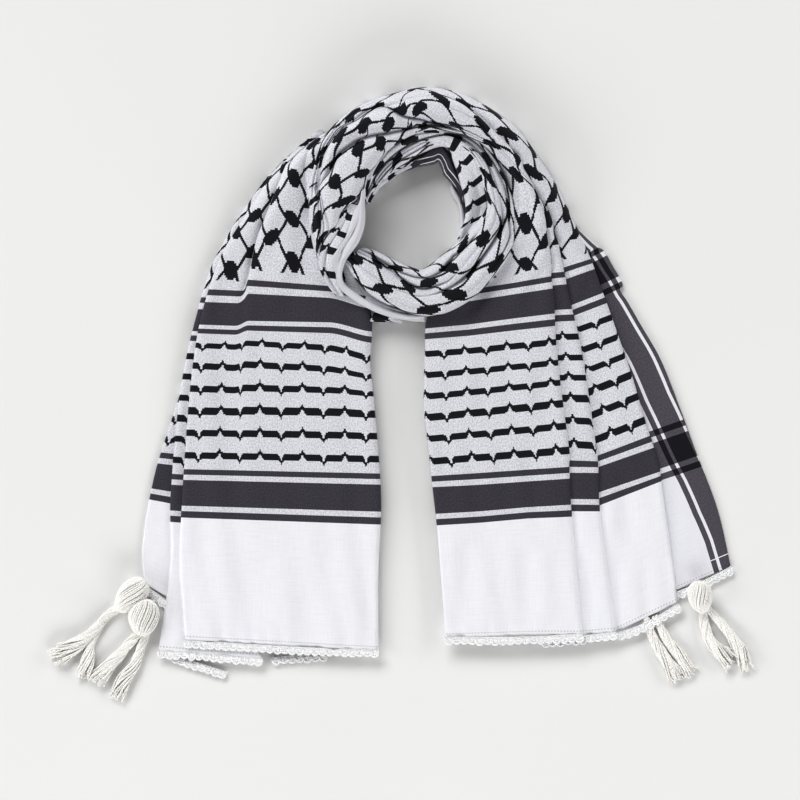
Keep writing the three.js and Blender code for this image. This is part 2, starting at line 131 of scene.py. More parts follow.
# %% Make a mesh object
def piece_from(name, points, faces, uv, material, nodes, wall=0.0):
    """Mesh object from points in table millimetres, a list of faces and one uv row for each point."""
    points = np.array(points, float)
    points[:, :2] += ANCHOR
    mesh = bpy.data.meshes.new(name)
    mesh.from_pydata((points * MM).tolist(), [], faces)
    mesh.polygons.foreach_set("use_smooth", np.ones(len(mesh.polygons), bool))
    layer = mesh.uv_layers.new(name="cloth")
    corner = np.empty(len(mesh.loops), np.int32)
    mesh.loops.foreach_get("vertex_index", corner)
    layer.data.foreach_set("uv", np.asarray(uv, np.float32)[corner].ravel())
    mesh.materials.append(material)
    mesh.update()
    obj = bpy.data.objects.new(name, mesh)
    bpy.context.scene.collection.objects.link(obj)
    if wall:
        thick = obj.modifiers.new("wall", "SOLIDIFY")
        thick.thickness, thick.offset = wall * MM, -1
    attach(obj, "root")
    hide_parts(*nodes)
    return obj


def grid_faces(rows, columns, flip=False):
    """Quads of a rows x columns grid of points, numbered row by row."""
    k = np.arange(rows * columns).reshape(rows, columns)
    quads = np.stack([k[:-1, :-1], k[:-1, 1:], k[1:, 1:], k[1:, :-1]], -1).reshape(-1, 4)
    return (quads[:, ::-1] if flip else quads).tolist()


# %% [markdown]
# ## The folded strip
# One function makes every stretch of cloth. Across the strip, the grid's columns follow each fold
# line exactly, so a crease is crisp without a very fine grid. The heights are a sum of simple parts:
# the lie of the strip, its rolled edges, the valley at each fold, and a soft unevenness. A last few
# columns tuck under each edge, as the real cloth goes on below.

# %% Strip function
SEAM = 0.12     # half width of the narrow faces that carry a fold's jump in the cloth, mm
TUCK = ((0.9, 0.45), (2.4, 0.8), (4.6, 0.9))     # how far in and how far down the cloth tucks under
LEAST_HEIGHT = 0.5      # no point of the cloth's upper face lies lower than this, mm
CLOTH_WALL = 0.4        # thickness of the cloth, mm


def beside(grid, column, end):
    """The grid with one more column before its first (end 0) or after its last (end -1)."""
    return np.c_[grid, column] if end else np.c_[column, grid]


def folded_strip(name, edges, section, folds, u_line, v_line, material, nodes,
                 seed=1, wave=0.5, step=1.5, spread=(34.0, 150.0), crown=0,
                 pucker=0):
    """Point = edge a + share x (edge b - edge a) + how far the fold lines on its two sides stand
    off that straight line, raised to
    top - fall of rolled edges - steps and valleys of the folds + ripple + crown + pucker.
    edges: rows (along, ax, ay, bx, by). section: rows (along, top, fall a, roll a, fall b, roll b).
    folds: each a dict with path rows (along, x, y), reach of the valley, and, as numbers or
    (along, value) rows, over (1 where the b side lies over, -1 the a side, 0 neither), deep
    (valley), step (how much lower the under side stays), hidden (cloth out of sight), shift (how
    far the pattern beyond it has slid) and soft (half width over which all that happens).
    u_line: rows (along, share, u). v_line: rows (along, v). crown: how far each strand between
    two folds swells, as a number or (along, mm) rows. pucker: height of the small gathers at the
    hem, which die away within 30 mm."""
    edges = np.asarray(edges, float)
    way = np.linspace(edges[0, 0], edges[-1, 0],
                      int((edges[-1, 0] - edges[0, 0]) / step) + 2)
    four = through(edges, way)
    a, b = four[:, :2], four[:, 2:]
    width = np.hypot(*(b - a).T)
    top, fall_a, roll_a, fall_b, roll_b = through(section, way).T

    lines, aside = [np.zeros_like(way)], [np.zeros((len(way), 2))]
    for fold in folds:
        path = np.asarray(fold["path"], float)
        if path.shape[1] == 2:                       # rows already give the share across
            lines.append(amount(path, way))
            aside.append(np.zeros((len(way), 2)))
            continue
        ends = through(edges, path[:, 0])
        run = ends[:, 2:] - ends[:, :2]
        place = ((path[:, 1:] - ends[:, :2]) * run).sum(1) / (run**2).sum(1)
        off = path[:, 1:] - ends[:, :2] - run * place[:, None]
        lines.append(through(np.c_[path[:, 0], place], way)[:, 0])
        aside.append(through(np.c_[path[:, 0], off], way))
    lines.append(np.ones_like(way))
    aside.append(np.zeros((len(way), 2)))
    least = 1.3 / width
    for k in range(1, len(lines) - 1):
        lines[k] = np.clip(lines[k], lines[k - 1] + least, 1 - (len(lines) - 1 - k) * least)

    blocks, drift, swell_up = [], [], []
    for k in range(len(lines) - 1):
        left = lines[k] + (SEAM / width if k else 0)
        right = lines[k + 1] - (SEAM / width if k < len(lines) - 2 else 0)
        many = max(4, int(((right - left) * width).max() / step) + 1)
        f = (1 - np.cos(np.pi * np.arange(many + 1) / many)) / 2
        f = 0.55 * f + 0.45 * np.arange(many + 1) / many
        blocks.append(left[:, None] + (right - left)[:, None] * f)
        drift.append(aside[k][:, None] + (aside[k + 1] - aside[k])[:, None] * f[:, None])
        swell_up.append(amount(crown, way)[:, None] * (4 * f * (1 - f) - 0.6))
    share, drift = np.hstack(blocks), np.concatenate(drift, 1)
    across = share * width[:, None]

    high = np.repeat(top[:, None], share.shape[1], 1)
    high -= rolled(across, fall_a[:, None], roll_a[:, None])
    high -= rolled(width[:, None] - across, fall_b[:, None], roll_b[:, None])
    high += np.hstack(swell_up)
    gathers = np.sin(across * 0.47 + 2.2 * np.sin(across * 0.061 + seed))
    high += pucker * gathers * np.exp(-(way - way[0])[:, None] / 11)
    hidden = np.zeros_like(high)
    slid = np.zeros_like(high)
    ref = amount([r[:2] for r in u_line], way)
    for k, fold in enumerate(folds):
        past = across - (lines[k + 1] * width)[:, None]          # mm beyond the fold line
        deep = amount(fold.get("deep", 0), way)[:, None]
        drop = amount(fold.get("step", 0), way)[:, None]
        reach = fold.get("reach", 6.0)
        soft = np.maximum(amount(fold.get("soft", 0), way), 0.01)[:, None]
        beyond = np.clip(past / soft / 2 + 0.5, 0, 1)
        beyond = beyond**2 * (3 - 2 * beyond)                    # 0 before the fold, 1 beyond it
        over = amount(fold.get("over", 0), way)[:, None]         # 1: b side over, -1: a side over
        curl = 1.2 + 0.9 * (deep + drop)
        for sign in (1, -1):
            side = sign * past
            swell = 0.12 * deep * np.exp(-(((side - curl - 3) / 5) ** 2))
            lap = np.where(side > 0, rolled(side, deep + drop, curl) - swell,
                           drop + deep * np.exp(np.minimum(side, 0) / reach))
            lap = np.where(soft > 1, drop * (1 - beyond if sign > 0 else beyond)
                           + deep * np.exp(-((past / reach) ** 2)), lap)
            high -= np.clip(sign * over, 0, 1) * lap
        high -= (1 - np.abs(over)) * deep * np.exp(-np.sqrt((past / reach) ** 2 + 0.02) + 0.14)
        jump = amount(fold.get("hidden", 0), way)[:, None]
        passed = np.clip((ref - lines[k + 1]) / 0.12 + 0.5, 0, 1)[:, None]   # the reference's side
        hidden += jump * (beyond - passed)
        slid += amount(fold.get("shift", 0), way)[:, None] * beyond
    loose = np.minimum(1, np.minimum(across, width[:, None] - across) / 8)
    high += wave * loose * ripple(across, np.repeat(way[:, None], share.shape[1], 1), seed, spread)

    for end in (0, -1):                                          # cloth that goes on underneath
        rim, base = share[:, end], high[:, end]
        for inward, down in TUCK:
            share = beside(share, rim + (-inward if end else inward) / width, end)
            high = beside(high, base - down, end)
            hidden, slid = beside(hidden, hidden[:, end], end), beside(slid, slid[:, end], end)
    high = np.maximum(high, LEAST_HEIGHT)
    across = share * width[:, None]
    drift = np.pad(drift, ((0, 0), (len(TUCK), len(TUCK)), (0, 0)))
    xy = a[:, None] + (b - a)[:, None] * share[..., None] + drift

    points = np.dstack([xy, high])
    length = np.r_["1", np.zeros((len(way), 1)),
                   np.cumsum(np.linalg.norm(np.diff(points, axis=1), axis=2), 1)]
    first = len(TUCK)                                            # columns before the rim of edge a
    body = slice(first, first + sum(x.shape[1] for x in blocks))
    k = np.clip((share[:, body] < ref[:, None]).sum(1) - 1, 0, body.stop - body.start - 2) + first
    row = np.arange(len(way))
    part = (ref - share[row, k]) / (share[row, k + 1] - share[row, k])
    at_ref = length[row, k] + part * (length[row, k + 1] - length[row, k])
    u = length - at_ref[:, None] + amount([(r[0], r[2]) for r in u_line], way)[:, None] + hidden
    v = amount(v_line, way)[:, None] + slid

    flat = points.reshape(-1, 3)
    turn = np.cross(b[0] - a[0], (a[min(3, len(a) - 1)] + b[min(3, len(b) - 1)] - a[0] - b[0]) / 2)
    obj = piece_from(name, flat, grid_faces(*share.shape, flip=turn < 0),
                     np.c_[u.ravel(), v.ravel()], material, nodes, wall=CLOTH_WALL)
    print(name, share.shape, "grid, height", np.round([high.min(), high.max()], 1))
    return obj


# %% [markdown]
# ## Helpers for materials
# `add` puts in one node with its settings and its links, whatever its kind. Colours are written as
# sRGB hex, as a dyer's chart would give them, and turned to linear light by `linear`.

# %% Material helpers
def linear(hex_colour):
    """sRGB hex to linear light: c/12.92 in the dark end, ((c+0.055)/1.055)^2.4 above it."""
    c = np.array([int(hex_colour[k:k + 2], 16) for k in (1, 3, 5)]) / 255
    return (*np.where(c <= 0.04045, c / 12.92, ((c + 0.055) / 1.055) ** 2.4).tolist(), 1.0)


def add(tree, kind, *links, out=0, **settings):
    """One node with its settings; links are values or output sockets for its inputs in order, or
    (input, value) pairs, the input by name or number. Gives back the output asked for."""
    node = tree.nodes.new("ShaderNode" + kind)
    for key, value in settings.items():
        setattr(node, key, value)
    for k, link in enumerate(links):
        key, value = link if isinstance(link, tuple) and len(link) == 2 else (k, link)
        socket = node.inputs[key]
        if isinstance(value, bpy.types.NodeSocket):
            tree.links.new(value, socket)
        else:
            socket.default_value = value
    return node.outputs[out] if len(node.outputs) else node


def calc(tree, operation, *values):
    """One maths node on its values or sockets, in order."""
    return add(tree, "Math", *values, operation=operation)


def new_material(name):
    """Empty node material with its output node; gives the material and its tree."""
    material = bpy.data.materials.new(name)
    material.use_nodes = True
    material.node_tree.nodes.clear()
    return material, material.node_tree


def set_stops(socket, stops, interpolation="LINEAR"):
    """Fill a colour ramp with (place, colour) stops, in order along it."""
    ramp = socket.node.color_ramp
    ramp.interpolation = interpolation
    for k, (place, colour) in enumerate(stops):
        stop = ramp.elements[k] if k < 2 else ramp.elements.new(place)
        stop.position, stop.color = place, (*colour, 1.0)


# %% [markdown]
# ## Cotton voile
# The cloth is a thin plain weave of cotton, bleached white and figured in black while it was woven.
# Every figure repeats, so it is drawn from the cloth's own millimetres: a modulo for the stripe
# groups, a ping-pong for the bars, and rotated ellipses for the ovals. Real threads are too fine to
# show, so the figures step in 0.8 mm here, and the grain is drawn a few times coarser than life.

# %% Measures of the pattern
COLUMN = 15.9            # from a peak of the leaf bars to the next valley, mm
GROUP_START = 91.5       # hem to the first stripe group
GROUP_EVERY = 141.5      # from one stripe group to the next
STRIPES = ((0, 1), (4.2, 0), (8.4, 1), (27.2, 0), (31.4, 1), (35.6, 0))   # black or white from here
GROUPS_END = 270.0
BAR_START = 137.6        # middle of the first leaf bar
BAR_EVERY = 16.6
BARS_MIDDLE, BARS_HALF = 179.1, 49.9
NET_START = 275.5
OVAL_START = 283.0
OVAL_EVERY = 31.5
LINE_HALF = 1.15         # half the width of a net line
LINE_NEAR = 4.0          # how near a net line comes to the middle of an oval's column
THREAD_STEP = 0.8        # the figures step by whole threads, drawn this coarse
NET_STEP = 1.5           # the net and its ovals step in coarser rows, which leaves their edges ragged
# Leaf bar: distance from a peak, upper edge, lower edge
BAR_SHAPE = ((0, 6.0, 1.7), (0.6, 4.5, 1.3), (1.3, 3.4, -0.5), (2.2, 2.8, -1.7), (3.2, 2.5, -2.4),
    (12.7, 2.5, -2.5), (13.8, 1.8, -2.8), (14.8, 0.3, -3.6), (15.2, -0.6, -4.3), (15.35, -2.0, -4.7),
    (15.9, -2.3, -6.0))
GROUP_REACH, SELVAGE_REACH = 40.0, 60.0        # how much cloth each stripe ramp covers
HEM_FOLD, HEM_FOLD_HALF = 12.0, 0.5            # the line where the hem is turned under
HOLE_ROW, HOLE_HALF, HOLE_EVERY = 2.6, 0.45, 1.2     # openings of the edging along the hem
BACKED_WHITE = "#C9C9D0"   # white cloth with black threads floating behind it
HEIGHT_SPAN = 14.0       # the ramp holds heights from -7 to 7 mm as 0 to 1


# %% The figured cloth
def figured_cotton(name, white, black, figure, selvage=(), margin=False):
    """Cotton voile with its woven figures. selvage: instead of bars and net, stripes along the
    edge, as (from, black) rows in mm from the rim, where u is nought. margin: no stripe runs along
    the cloth past the rim, where u is above nought."""
    material, tree = new_material(name)
    cloth = add(tree, "UVMap", uv_map="cloth")
    across = add(tree, "SeparateXYZ", cloth)
    along = across.node.outputs[1]
    u = calc(tree, "SNAP", across, THREAD_STEP)
    u = calc(tree, "ADD", u, THREAD_STEP / 2)
    v = calc(tree, "SNAP", along, THREAD_STEP)
    v = calc(tree, "ADD", v, THREAD_STEP / 2)

    # stripe groups
    w = calc(tree, "ADD", v, -GROUP_START)
    w = calc(tree, "FLOORED_MODULO", w, GROUP_EVERY)
    w = calc(tree, "DIVIDE", w, GROUP_REACH)
    stripes = add(tree, "ValToRGB", w)
    set_stops(stripes, [(p / GROUP_REACH, (s, s, s)) for p, s in STRIPES], "CONSTANT")
    inside = calc(tree, "COMPARE", v, (GROUP_START + GROUPS_END) / 2, (GROUPS_END - GROUP_START) / 2)
    stripes = calc(tree, "MULTIPLY", stripes, inside)
    if selvage:
        edge = calc(tree, "ABSOLUTE", u)
        edge = calc(tree, "DIVIDE", edge, SELVAGE_REACH)
        edge = add(tree, "ValToRGB", edge)
        set_stops(edge, [(p / SELVAGE_REACH, (s, s, s)) for p, s in selvage], "CONSTANT")
        if margin:
            edge = calc(tree, "MULTIPLY", edge, calc(tree, "LESS_THAN", u, 0.4))
        crossing = calc(tree, "MULTIPLY", stripes, edge)
        turned = calc(tree, "COMPARE", along, HEM_FOLD, HEM_FOLD_HALF)
        edge = calc(tree, "SUBTRACT", edge, turned)
        stripes = calc(tree, "MAXIMUM", stripes, edge)

    # leaf bars
    peak = calc(tree, "PINGPONG", u, COLUMN)
    place = calc(tree, "DIVIDE", peak, COLUMN)
    shape = add(tree, "ValToRGB", place)
    set_stops(shape, [(p / COLUMN, ((t + b) / 2 / HEIGHT_SPAN + 0.5, (t - b) / HEIGHT_SPAN, 0))
                      for p, t, b in BAR_SHAPE])
    shape = add(tree, "SeparateXYZ", shape)
    mid = calc(tree, "ADD", shape, -0.5)
    mid = calc(tree, "MULTIPLY", mid, HEIGHT_SPAN)
    half = calc(tree, "MULTIPLY", shape.node.outputs[1], HEIGHT_SPAN / 2)
    y = calc(tree, "ADD", v, BAR_EVERY / 2 - BAR_START)
    y = calc(tree, "FLOORED_MODULO", y, BAR_EVERY)
    y = calc(tree, "ADD", y, -BAR_EVERY / 2)
    bar = calc(tree, "COMPARE", y, mid, half)
    rows = calc(tree, "COMPARE", v, BARS_MIDDLE, BARS_HALF)
    bar = calc(tree, "MULTIPLY", bar, rows)

    # net lines, which run to and fro between one column and the next
    row = calc(tree, "SNAP", along, NET_STEP)
    row = calc(tree, "ADD", row, NET_STEP / 2 - OVAL_START)
    turn = calc(tree, "PINGPONG", row, OVAL_EVERY / 2)
    swing = calc(tree, "MULTIPLY_ADD", turn, (LINE_NEAR * 2 - COLUMN) / (OVAL_EVERY / 2),
                 COLUMN - LINE_NEAR)
    net = calc(tree, "COMPARE", peak, swing, LINE_HALF)

    # ovals: those on valley columns lean one way, those on peak columns lean the other
    for shift_u, shift_v, lean, size in ((COLUMN, 0.0, 22, (4.7, 7.4, 1)),
                                         (0.0, OVAL_EVERY / 2, -38, (4.2, 8.0, 1))):
        du = calc(tree, "ADD", u, -shift_u)
        du = calc(tree, "WRAP", du, COLUMN, -COLUMN)
        dv = calc(tree, "ADD", row, -shift_v)
        dv = calc(tree, "WRAP", dv, OVAL_EVERY / 2, -OVAL_EVERY / 2)
        spot = add(tree, "CombineXYZ", du, dv)
        spot = add(tree, "Mapping", spot, ("Rotation", (0, 0, math.radians(lean))),
                   ("Scale", size), vector_type="TEXTURE")
        spot = add(tree, "VectorMath", spot, out=1, operation="LENGTH")
        spot = calc(tree, "LESS_THAN", spot, 1.0)
        net = calc(tree, "MAXIMUM", net, spot)
    past = calc(tree, "GREATER_THAN", v, NET_START)
    net = calc(tree, "MULTIPLY", net, past)
    # where two bands cross, both sets of threads are black
    figures = calc(tree, "MAXIMUM", bar, net) if not selvage else crossing

    # grain: slubs run along both sets of threads
    warp = add(tree, "Mapping", cloth, ("Scale", (1.1, 0.06, 1)))
    warp = add(tree, "TexNoise", warp, ("Scale", 1.0), ("Detail", 2.0), noise_dimensions="2D")
    weft = add(tree, "Mapping", cloth, ("Scale", (0.06, 1.1, 1)))
    weft = add(tree, "TexNoise", weft, ("Scale", 1.0), ("Detail", 2.0), noise_dimensions="2D")
    grain = calc(tree, "ADD", warp, weft)
    tone = add(tree, "MapRange", grain, 0.7, 1.3, 0.97, 1.02)

    # from the first stripe group on, black threads float on the back and grey the white a little
    backed = 0.0 if selvage else calc(tree, "GREATER_THAN", v, GROUP_START)
    floats = add(tree, "Mapping", cloth, ("Scale", (1.1, 0.8, 1)))
    floats = add(tree, "TexNoise", floats, ("Scale", 1.0), ("Detail", 3.0), noise_dimensions="2D")
    floats = add(tree, "MapRange", floats, 0.32, 0.68, 0.1, 1.0)
    backed = calc(tree, "MULTIPLY", backed, floats)
    ground = add(tree, "Mix", backed, (6, linear(white)), (7, linear(BACKED_WHITE)),
                 data_type="RGBA", out=2)
    fleck = add(tree, "MapRange", floats, 0.1, 1.0, 0.8, 1.2)    # white threads show in the black
    dark = add(tree, "VectorMath", linear(black)[:3], ("Scale", fleck), operation="SCALE")
    colour = add(tree, "Mix", stripes, (6, ground), (7, dark), data_type="RGBA", out=2)
    colour = add(tree, "Mix", figures, (6, colour), (7, linear(figure)), data_type="RGBA", out=2)
    # a row of small openings where the edging is worked into the hem
    hem = calc(tree, "COMPARE", along, HOLE_ROW, HOLE_HALF)
    holes = calc(tree, "PINGPONG", across, HOLE_EVERY)
    holes = calc(tree, "GREATER_THAN", holes, HOLE_EVERY / 2)
    hem = calc(tree, "MULTIPLY", hem, holes)
    tone = calc(tree, "MULTIPLY_ADD", hem, -0.3, tone)
    shade = add(tree, "VectorMath", colour, ("Scale", tone), operation="SCALE")
    bump = add(tree, "Bump", ("Strength", 0.18), ("Distance", 0.0003), ("Height", grain))
    skin = add(tree, "BsdfPrincipled", ("Base Color", shade), ("Roughness", 0.85), ("Normal", bump),
               ("Sheen Weight", 0.05), ("Sheen Roughness", 0.5), ("Specular IOR Level", 0.2))
    add(tree, "OutputMaterial", skin)
    return material


COTTON_WHITE, STRIPE_BLACK, FIGURE_BLACK = "#EFEFF3", "#4C4952", "#222228"
cotton = figured_cotton("woven cotton voile", COTTON_WHITE, STRIPE_BLACK, FIGURE_BLACK)
print("cotton has", len(cotton.node_tree.nodes), "nodes")

# %% [markdown]
# ## Table, light and camera
# The scarf lies on a matt off-white board, inside a ring of wide soft panels. The brightest stands at
# the upper left, so that hollows and folds fall into shade. The camera looks straight down from far
# enough that the tall neck loop isn't enlarged.

# %% Table
def board_material():
    """Matt painted board: a very faint mottle of tone, no gloss."""
    material, tree = new_material("matt painted board")
    place = add(tree, "TexCoord", out=3)
    mottle = add(tree, "TexNoise", place, ("Scale", 3.0), ("Detail", 3.0))
    tone = add(tree, "MapRange", mottle, 0.3, 0.7, 0.985, 1.0)
    colour = add(tree, "VectorMath", (0, linear("#EFEFEE")[:3]), ("Scale", tone), operation="SCALE")
    grit = add(tree, "TexNoise", place, ("Scale", 900.0))
    bump = add(tree, "Bump", ("Strength", 0.05), ("Distance", 0.0002), ("Height", grit))
    skin = add(tree, "BsdfPrincipled", ("Base Color", colour), ("Roughness", 0.7), ("Normal", bump),
               ("Specular IOR Level", 0.25))
    add(tree, "OutputMaterial", skin)
    return material


def table_top(side=2400.0):
    """Square board, a 3 x 3 grid at height nought, centred on the part."""
    x, y = np.meshgrid(np.linspace(-side, side, 3), np.linspace(-side, side, 3))
    points = np.c_[x.ravel(), y.ravel(), np.zeros(9)]
    mesh = bpy.data.meshes.new("table_top")
    mesh.from_pydata((points * MM).tolist(), [], grid_faces(3, 3))
    mesh.materials.append(board_material())
    obj = bpy.data.objects.new("table_top", mesh)
    bpy.context.scene.collection.objects.link(obj)
    return obj


table = table_top()

# %% Camera and lights
VIEW_WIDTH = 600.0          # the camera takes in a square this wide at the table, mm
VIEW_MIDDLE = (-1.9, -4.5)
CAMERA_HEIGHT = 4500.0
SENSOR = 36.0
ROOM_LIGHT = 0.15           # strength of the even light from all round
GAMMA, EXPOSURE = 0.78, 0.06          # a little more contrast, as a print has

camera = bpy.data.objects.new("camera", bpy.data.cameras.new("camera"))
camera.data.sensor_width = SENSOR
camera.data.lens = SENSOR * CAMERA_HEIGHT / VIEW_WIDTH
camera.data.clip_end = 20.0
camera.location = ((VIEW_MIDDLE[0] + ANCHOR[0]) * MM, (VIEW_MIDDLE[1] + ANCHOR[1]) * MM,
                   CAMERA_HEIGHT * MM)
bpy.context.scene.collection.objects.link(camera)
bpy.context.scene.camera = camera


def soft_panel(name, bearing, power, lift=32.0, away=3.2, size=(3.2, 1.5)):
    """Wide soft panel at a bearing and a lift above the table, both in degrees, facing the scarf."""
    light = bpy.data.lights.new(name, "AREA")
    light.shape, light.size, light.size_y, light.energy = "RECTANGLE", size[0], size[1], power
    obj = bpy.data.objects.new(name, light)
    turn, rise = math.radians(bearing), math.radians(lift)
    obj.location = (away * math.cos(rise) * math.cos(turn), away * math.cos(rise) * math.sin(turn),
                    away * math.sin(rise))
    obj.rotation_euler = (math.pi / 2 - rise, 0, turn + math.pi / 2)
    bpy.context.scene.collection.objects.link(obj)
    return obj


soft_panel("key_panel", 118, 390, lift=34, away=7.0, size=(6.5, 2.6))
FILL_PANELS = (("panel_right", 10, 42), ("panel_left", 200, 42), ("panel_bottom", 280, 58))
for name, bearing, power in FILL_PANELS:
    soft_panel(name, bearing, power, lift=22, size=(3.2, 1.0))
world = bpy.data.worlds.new("studio")
world.use_nodes = True
world.node_tree.nodes["Background"].inputs["Color"].default_value = linear("#FFFFFF")
world.node_tree.nodes["Background"].inputs["Strength"].default_value = ROOM_LIGHT
bpy.context.scene.world = world
bpy.context.scene.view_settings.view_transform = "Standard"
bpy.context.scene.view_settings.gamma = GAMMA
bpy.context.scene.view_settings.exposure = EXPOSURE
print("camera", tuple(round(x, 3) for x in camera.location), "lens", round(camera.data.lens, 1))

# %% [markdown]
# ## Left tail
# The tail that lies on the left comes from under the neck loop, over the shoulder, and down to its
# hem. Near its left edge one long fold runs up the cloth: the broad right side lies over the narrow
# left side, and more and more cloth is hidden in it towards the shoulder.

# %% Left tail, front panel and shoulder
LEFT_EDGES = ((0, -163, -184, -18, -192), (60, -167, -124, -18, -132), (109, -165, -75, -16, -79),
    (179, -160, -5, -21, -8), (215, -156, 31, -24, 23), (251, -151, 59, -23, 56),
    (290, -140, 99, -30, 89), (330, -125, 128, -43, 123), (368, -105, 158, -51, 148),
    (402, -83, 181, -45, 172), (432, -62, 198, -32, 183))
LEFT_SECTION = ((0, 6.6, 2, 3, 2, 3), (12, 7.6, 3, 3, 3, 3), (60, 7.9, 3, 3, 3, 3),
    (109, 8.4, 3.1, 3, 3.1, 3), (179, 9.2, 3.1, 3.5, 3.1, 3.5), (215, 9.8, 3.4, 4, 3.4, 4),
    (251, 11, 4, 5, 4, 5), (290, 14, 9, 10, 9, 10), (330, 18, 17, 15, 15, 16),
    (368, 21, 20.5, 18, 18, 18), (402, 22, 21.5, 17, 20, 17), (420, 18, 17.5, 16, 17, 16),
    (432, 8, 7.5, 9, 7, 9))
LEFT_FOLDS = (
    dict(path=((139, -121.9, -45.8), (173, -121.9, -12), (202, -121.9, 16.5), (224, -121.1, 36.8),
               (250, -119.6, 57), (272, -117.4, 79.5), (284, -114.4, 91.5), (303, -111.4, 107.2),
               (322, -107.6, 120.8), (334, -103.9, 129.8), (352, -98.6, 143.2), (373, -91.9, 159.8),
               (384, -88.9, 168), (389, -87.4, 171.8)),
         over=1, soft=((0, 5), (262, 5), (275, 0)),
         deep=((0, 0), (80, 0), (140, 0.5), (221, 1.0), (262, 1.6), (290, 2.6), (389, 3.4)),
         step=((0, 0), (120, 0), (221, 1), (251, 2), (290, 4), (389, 6), (432, 6)),
         hidden=((0, 0), (137, 1), (180, 2.6), (221, 3.7), (251, 8), (284, 14), (389, 15)),
         shift=((0, 0), (150, 0), (190, -2), (221, -4), (251, -5), (295, -10), (337, -14.7),
                (378, -24), (432, -34)), reach=5),
    dict(path=((0, 0.8), (300, 0.74), (354, 0.68), (374, 0.59), (393, 0.39), (412, 0.2)),
         deep=((0, 0), (300, 0), (345, 2.2), (412, 2.5)), reach=6),
    dict(path=((0, 0.88), (432, 0.88)), soft=17, over=1,
         shift=((0, 0), (150, 0), (185, 1.5), (215, 6), (262, 7), (300, 4), (330, 0))),
)
left_panel = folded_strip(
    "left_tail_panel", LEFT_EDGES, LEFT_SECTION, LEFT_FOLDS,
    u_line=((0, 0.503, 80.3), (221, 0.503, 80.3), (251, 0.508, 80.3), (290, 0.536, 80.3),
            (330, 0.54, 80.3), (368, 0.45, 80.3), (405, 0.2, 80.3)),
    v_line=((0, 0), (251, 250), (284, 283), (322, 314.5), (354, 346), (432, 424)),
    material=cotton, nodes=("left_tail_front_panel", "left_shoulder", "left_tail_inner_folds"),
    seed=3, wave=1.1, crown=((0, 0), (290, 0), (350, 1.2), (432, 1.2)), pucker=0.45)

# %% [markdown]
# Two more folds of the same tail look out at its left: they are the next layers down, each a little
# shorter and further out. Only a margin of each shows, so each is one plain strip.

# %% Left tail, the two folds below
SECOND_EDGES = ((0, -183, -192, -105, -198), (60, -174, -127, -126, -132), (109, -174, -79, -125, -82),
    (179, -168, -8, -122, -10), (215, -162, 28, -117, 26), (251, -155, 57, -114, 56),
    (290, -144, 94, -105, 92), (330, -127, 126, -84, 119), (368, -108, 154, -69, 146))
second_fold = folded_strip(
    "left_tail_second_layer", SECOND_EDGES,
    ((0, 4.7, 2.2, 3, 1, 3), (109, 5.1, 2.3, 3, 1, 3), (251, 6.2, 3, 4, 1, 3), (368, 6.5, 4, 6, 1, 3)),
    (), u_line=((0, 0.0, 6), (368, 0.0, 6)),
    v_line=((0, 0), (138.5, 137.6), (215, 220.6), (232, 235), (265, 266.5), (368, 368)),
    material=cotton, nodes=("left_tail_second_fold",), seed=8, wave=0.4)
BACK_EDGES = ((20, -194, -142, -112, -190), (50, -195, -113, -114, -140), (109, -186, -61, -117, -70),
    (150, -174, -22, -116, -27), (190, -163, 12, -114, 8), (251, -150, 57, -108, 55),
    (330, -122, 126, -80, 119), (366, -103, 152, -66, 145))
back_fold = folded_strip(
    "left_tail_back_layer", BACK_EDGES,
    ((20, 2.4, 1.2, 2, 0.5, 2), (109, 2.6, 1.4, 2, 0.5, 2), (251, 3.2, 2, 3, 0.5, 2),
     (366, 3.4, 2.2, 3, 0.5, 2)),
    (), u_line=((20, 0.0, 12), (366, 0.0, 12)), v_line=((20, 22), (89, 91.5), (127, 127.1), (366, 366)),
    material=cotton, nodes=("left_tail_back_fold",), seed=9, wave=0.3)

# %% [markdown]
# ## Right tail and the loop round the neck
# The other end of the scarf starts at its hem on the right, runs up over the right shoulder, round
# behind the neck and down the left side. It is one length of cloth, so it is one strip here. Two
# pleats step down towards its right edge, and two folds run round the loop.

# %% Right tail and outer wrap
WRAP_EDGES = ((0, 32, -182, 206.6, -156), (91.5, 25.5, -98, 195, -72), (118, 22.5, -71, 191.6, -50),
    (145, 19.5, -43, 182, -20), (179, 16, -10, 172, 14), (220.6, 16.5, 29.6, 160, 49),
    (251, 18.4, 57.6, 149, 80), (275, 30, 80, 141.4, 101), (300, 50, 101, 134, 118),
    (322, 71, 121, 126, 135), (344, 79, 147, 117, 154), (366, 73, 169, 104, 175),
    (393, 59, 186, 84, 201), (421, 40, 195, 54, 221), (446, 23, 197, 24, 230), (472, 6, 192, -5, 226),
    (499, -9, 183, -36, 214), (524, -22, 168, -59, 192), (546, -29, 154, -69, 164),
    (560, -33, 145, -70.5, 150), (572, -44, 136, -70, 138), (584, -47, 127, -69, 122),
    (596, -54, 118, -67, 110), (606, -59, 108, -63, 99), (618, -61, 97, -58, 88),
    (630, -57, 86, -53, 80), (640, -50, 76, -50.5, 74.5))
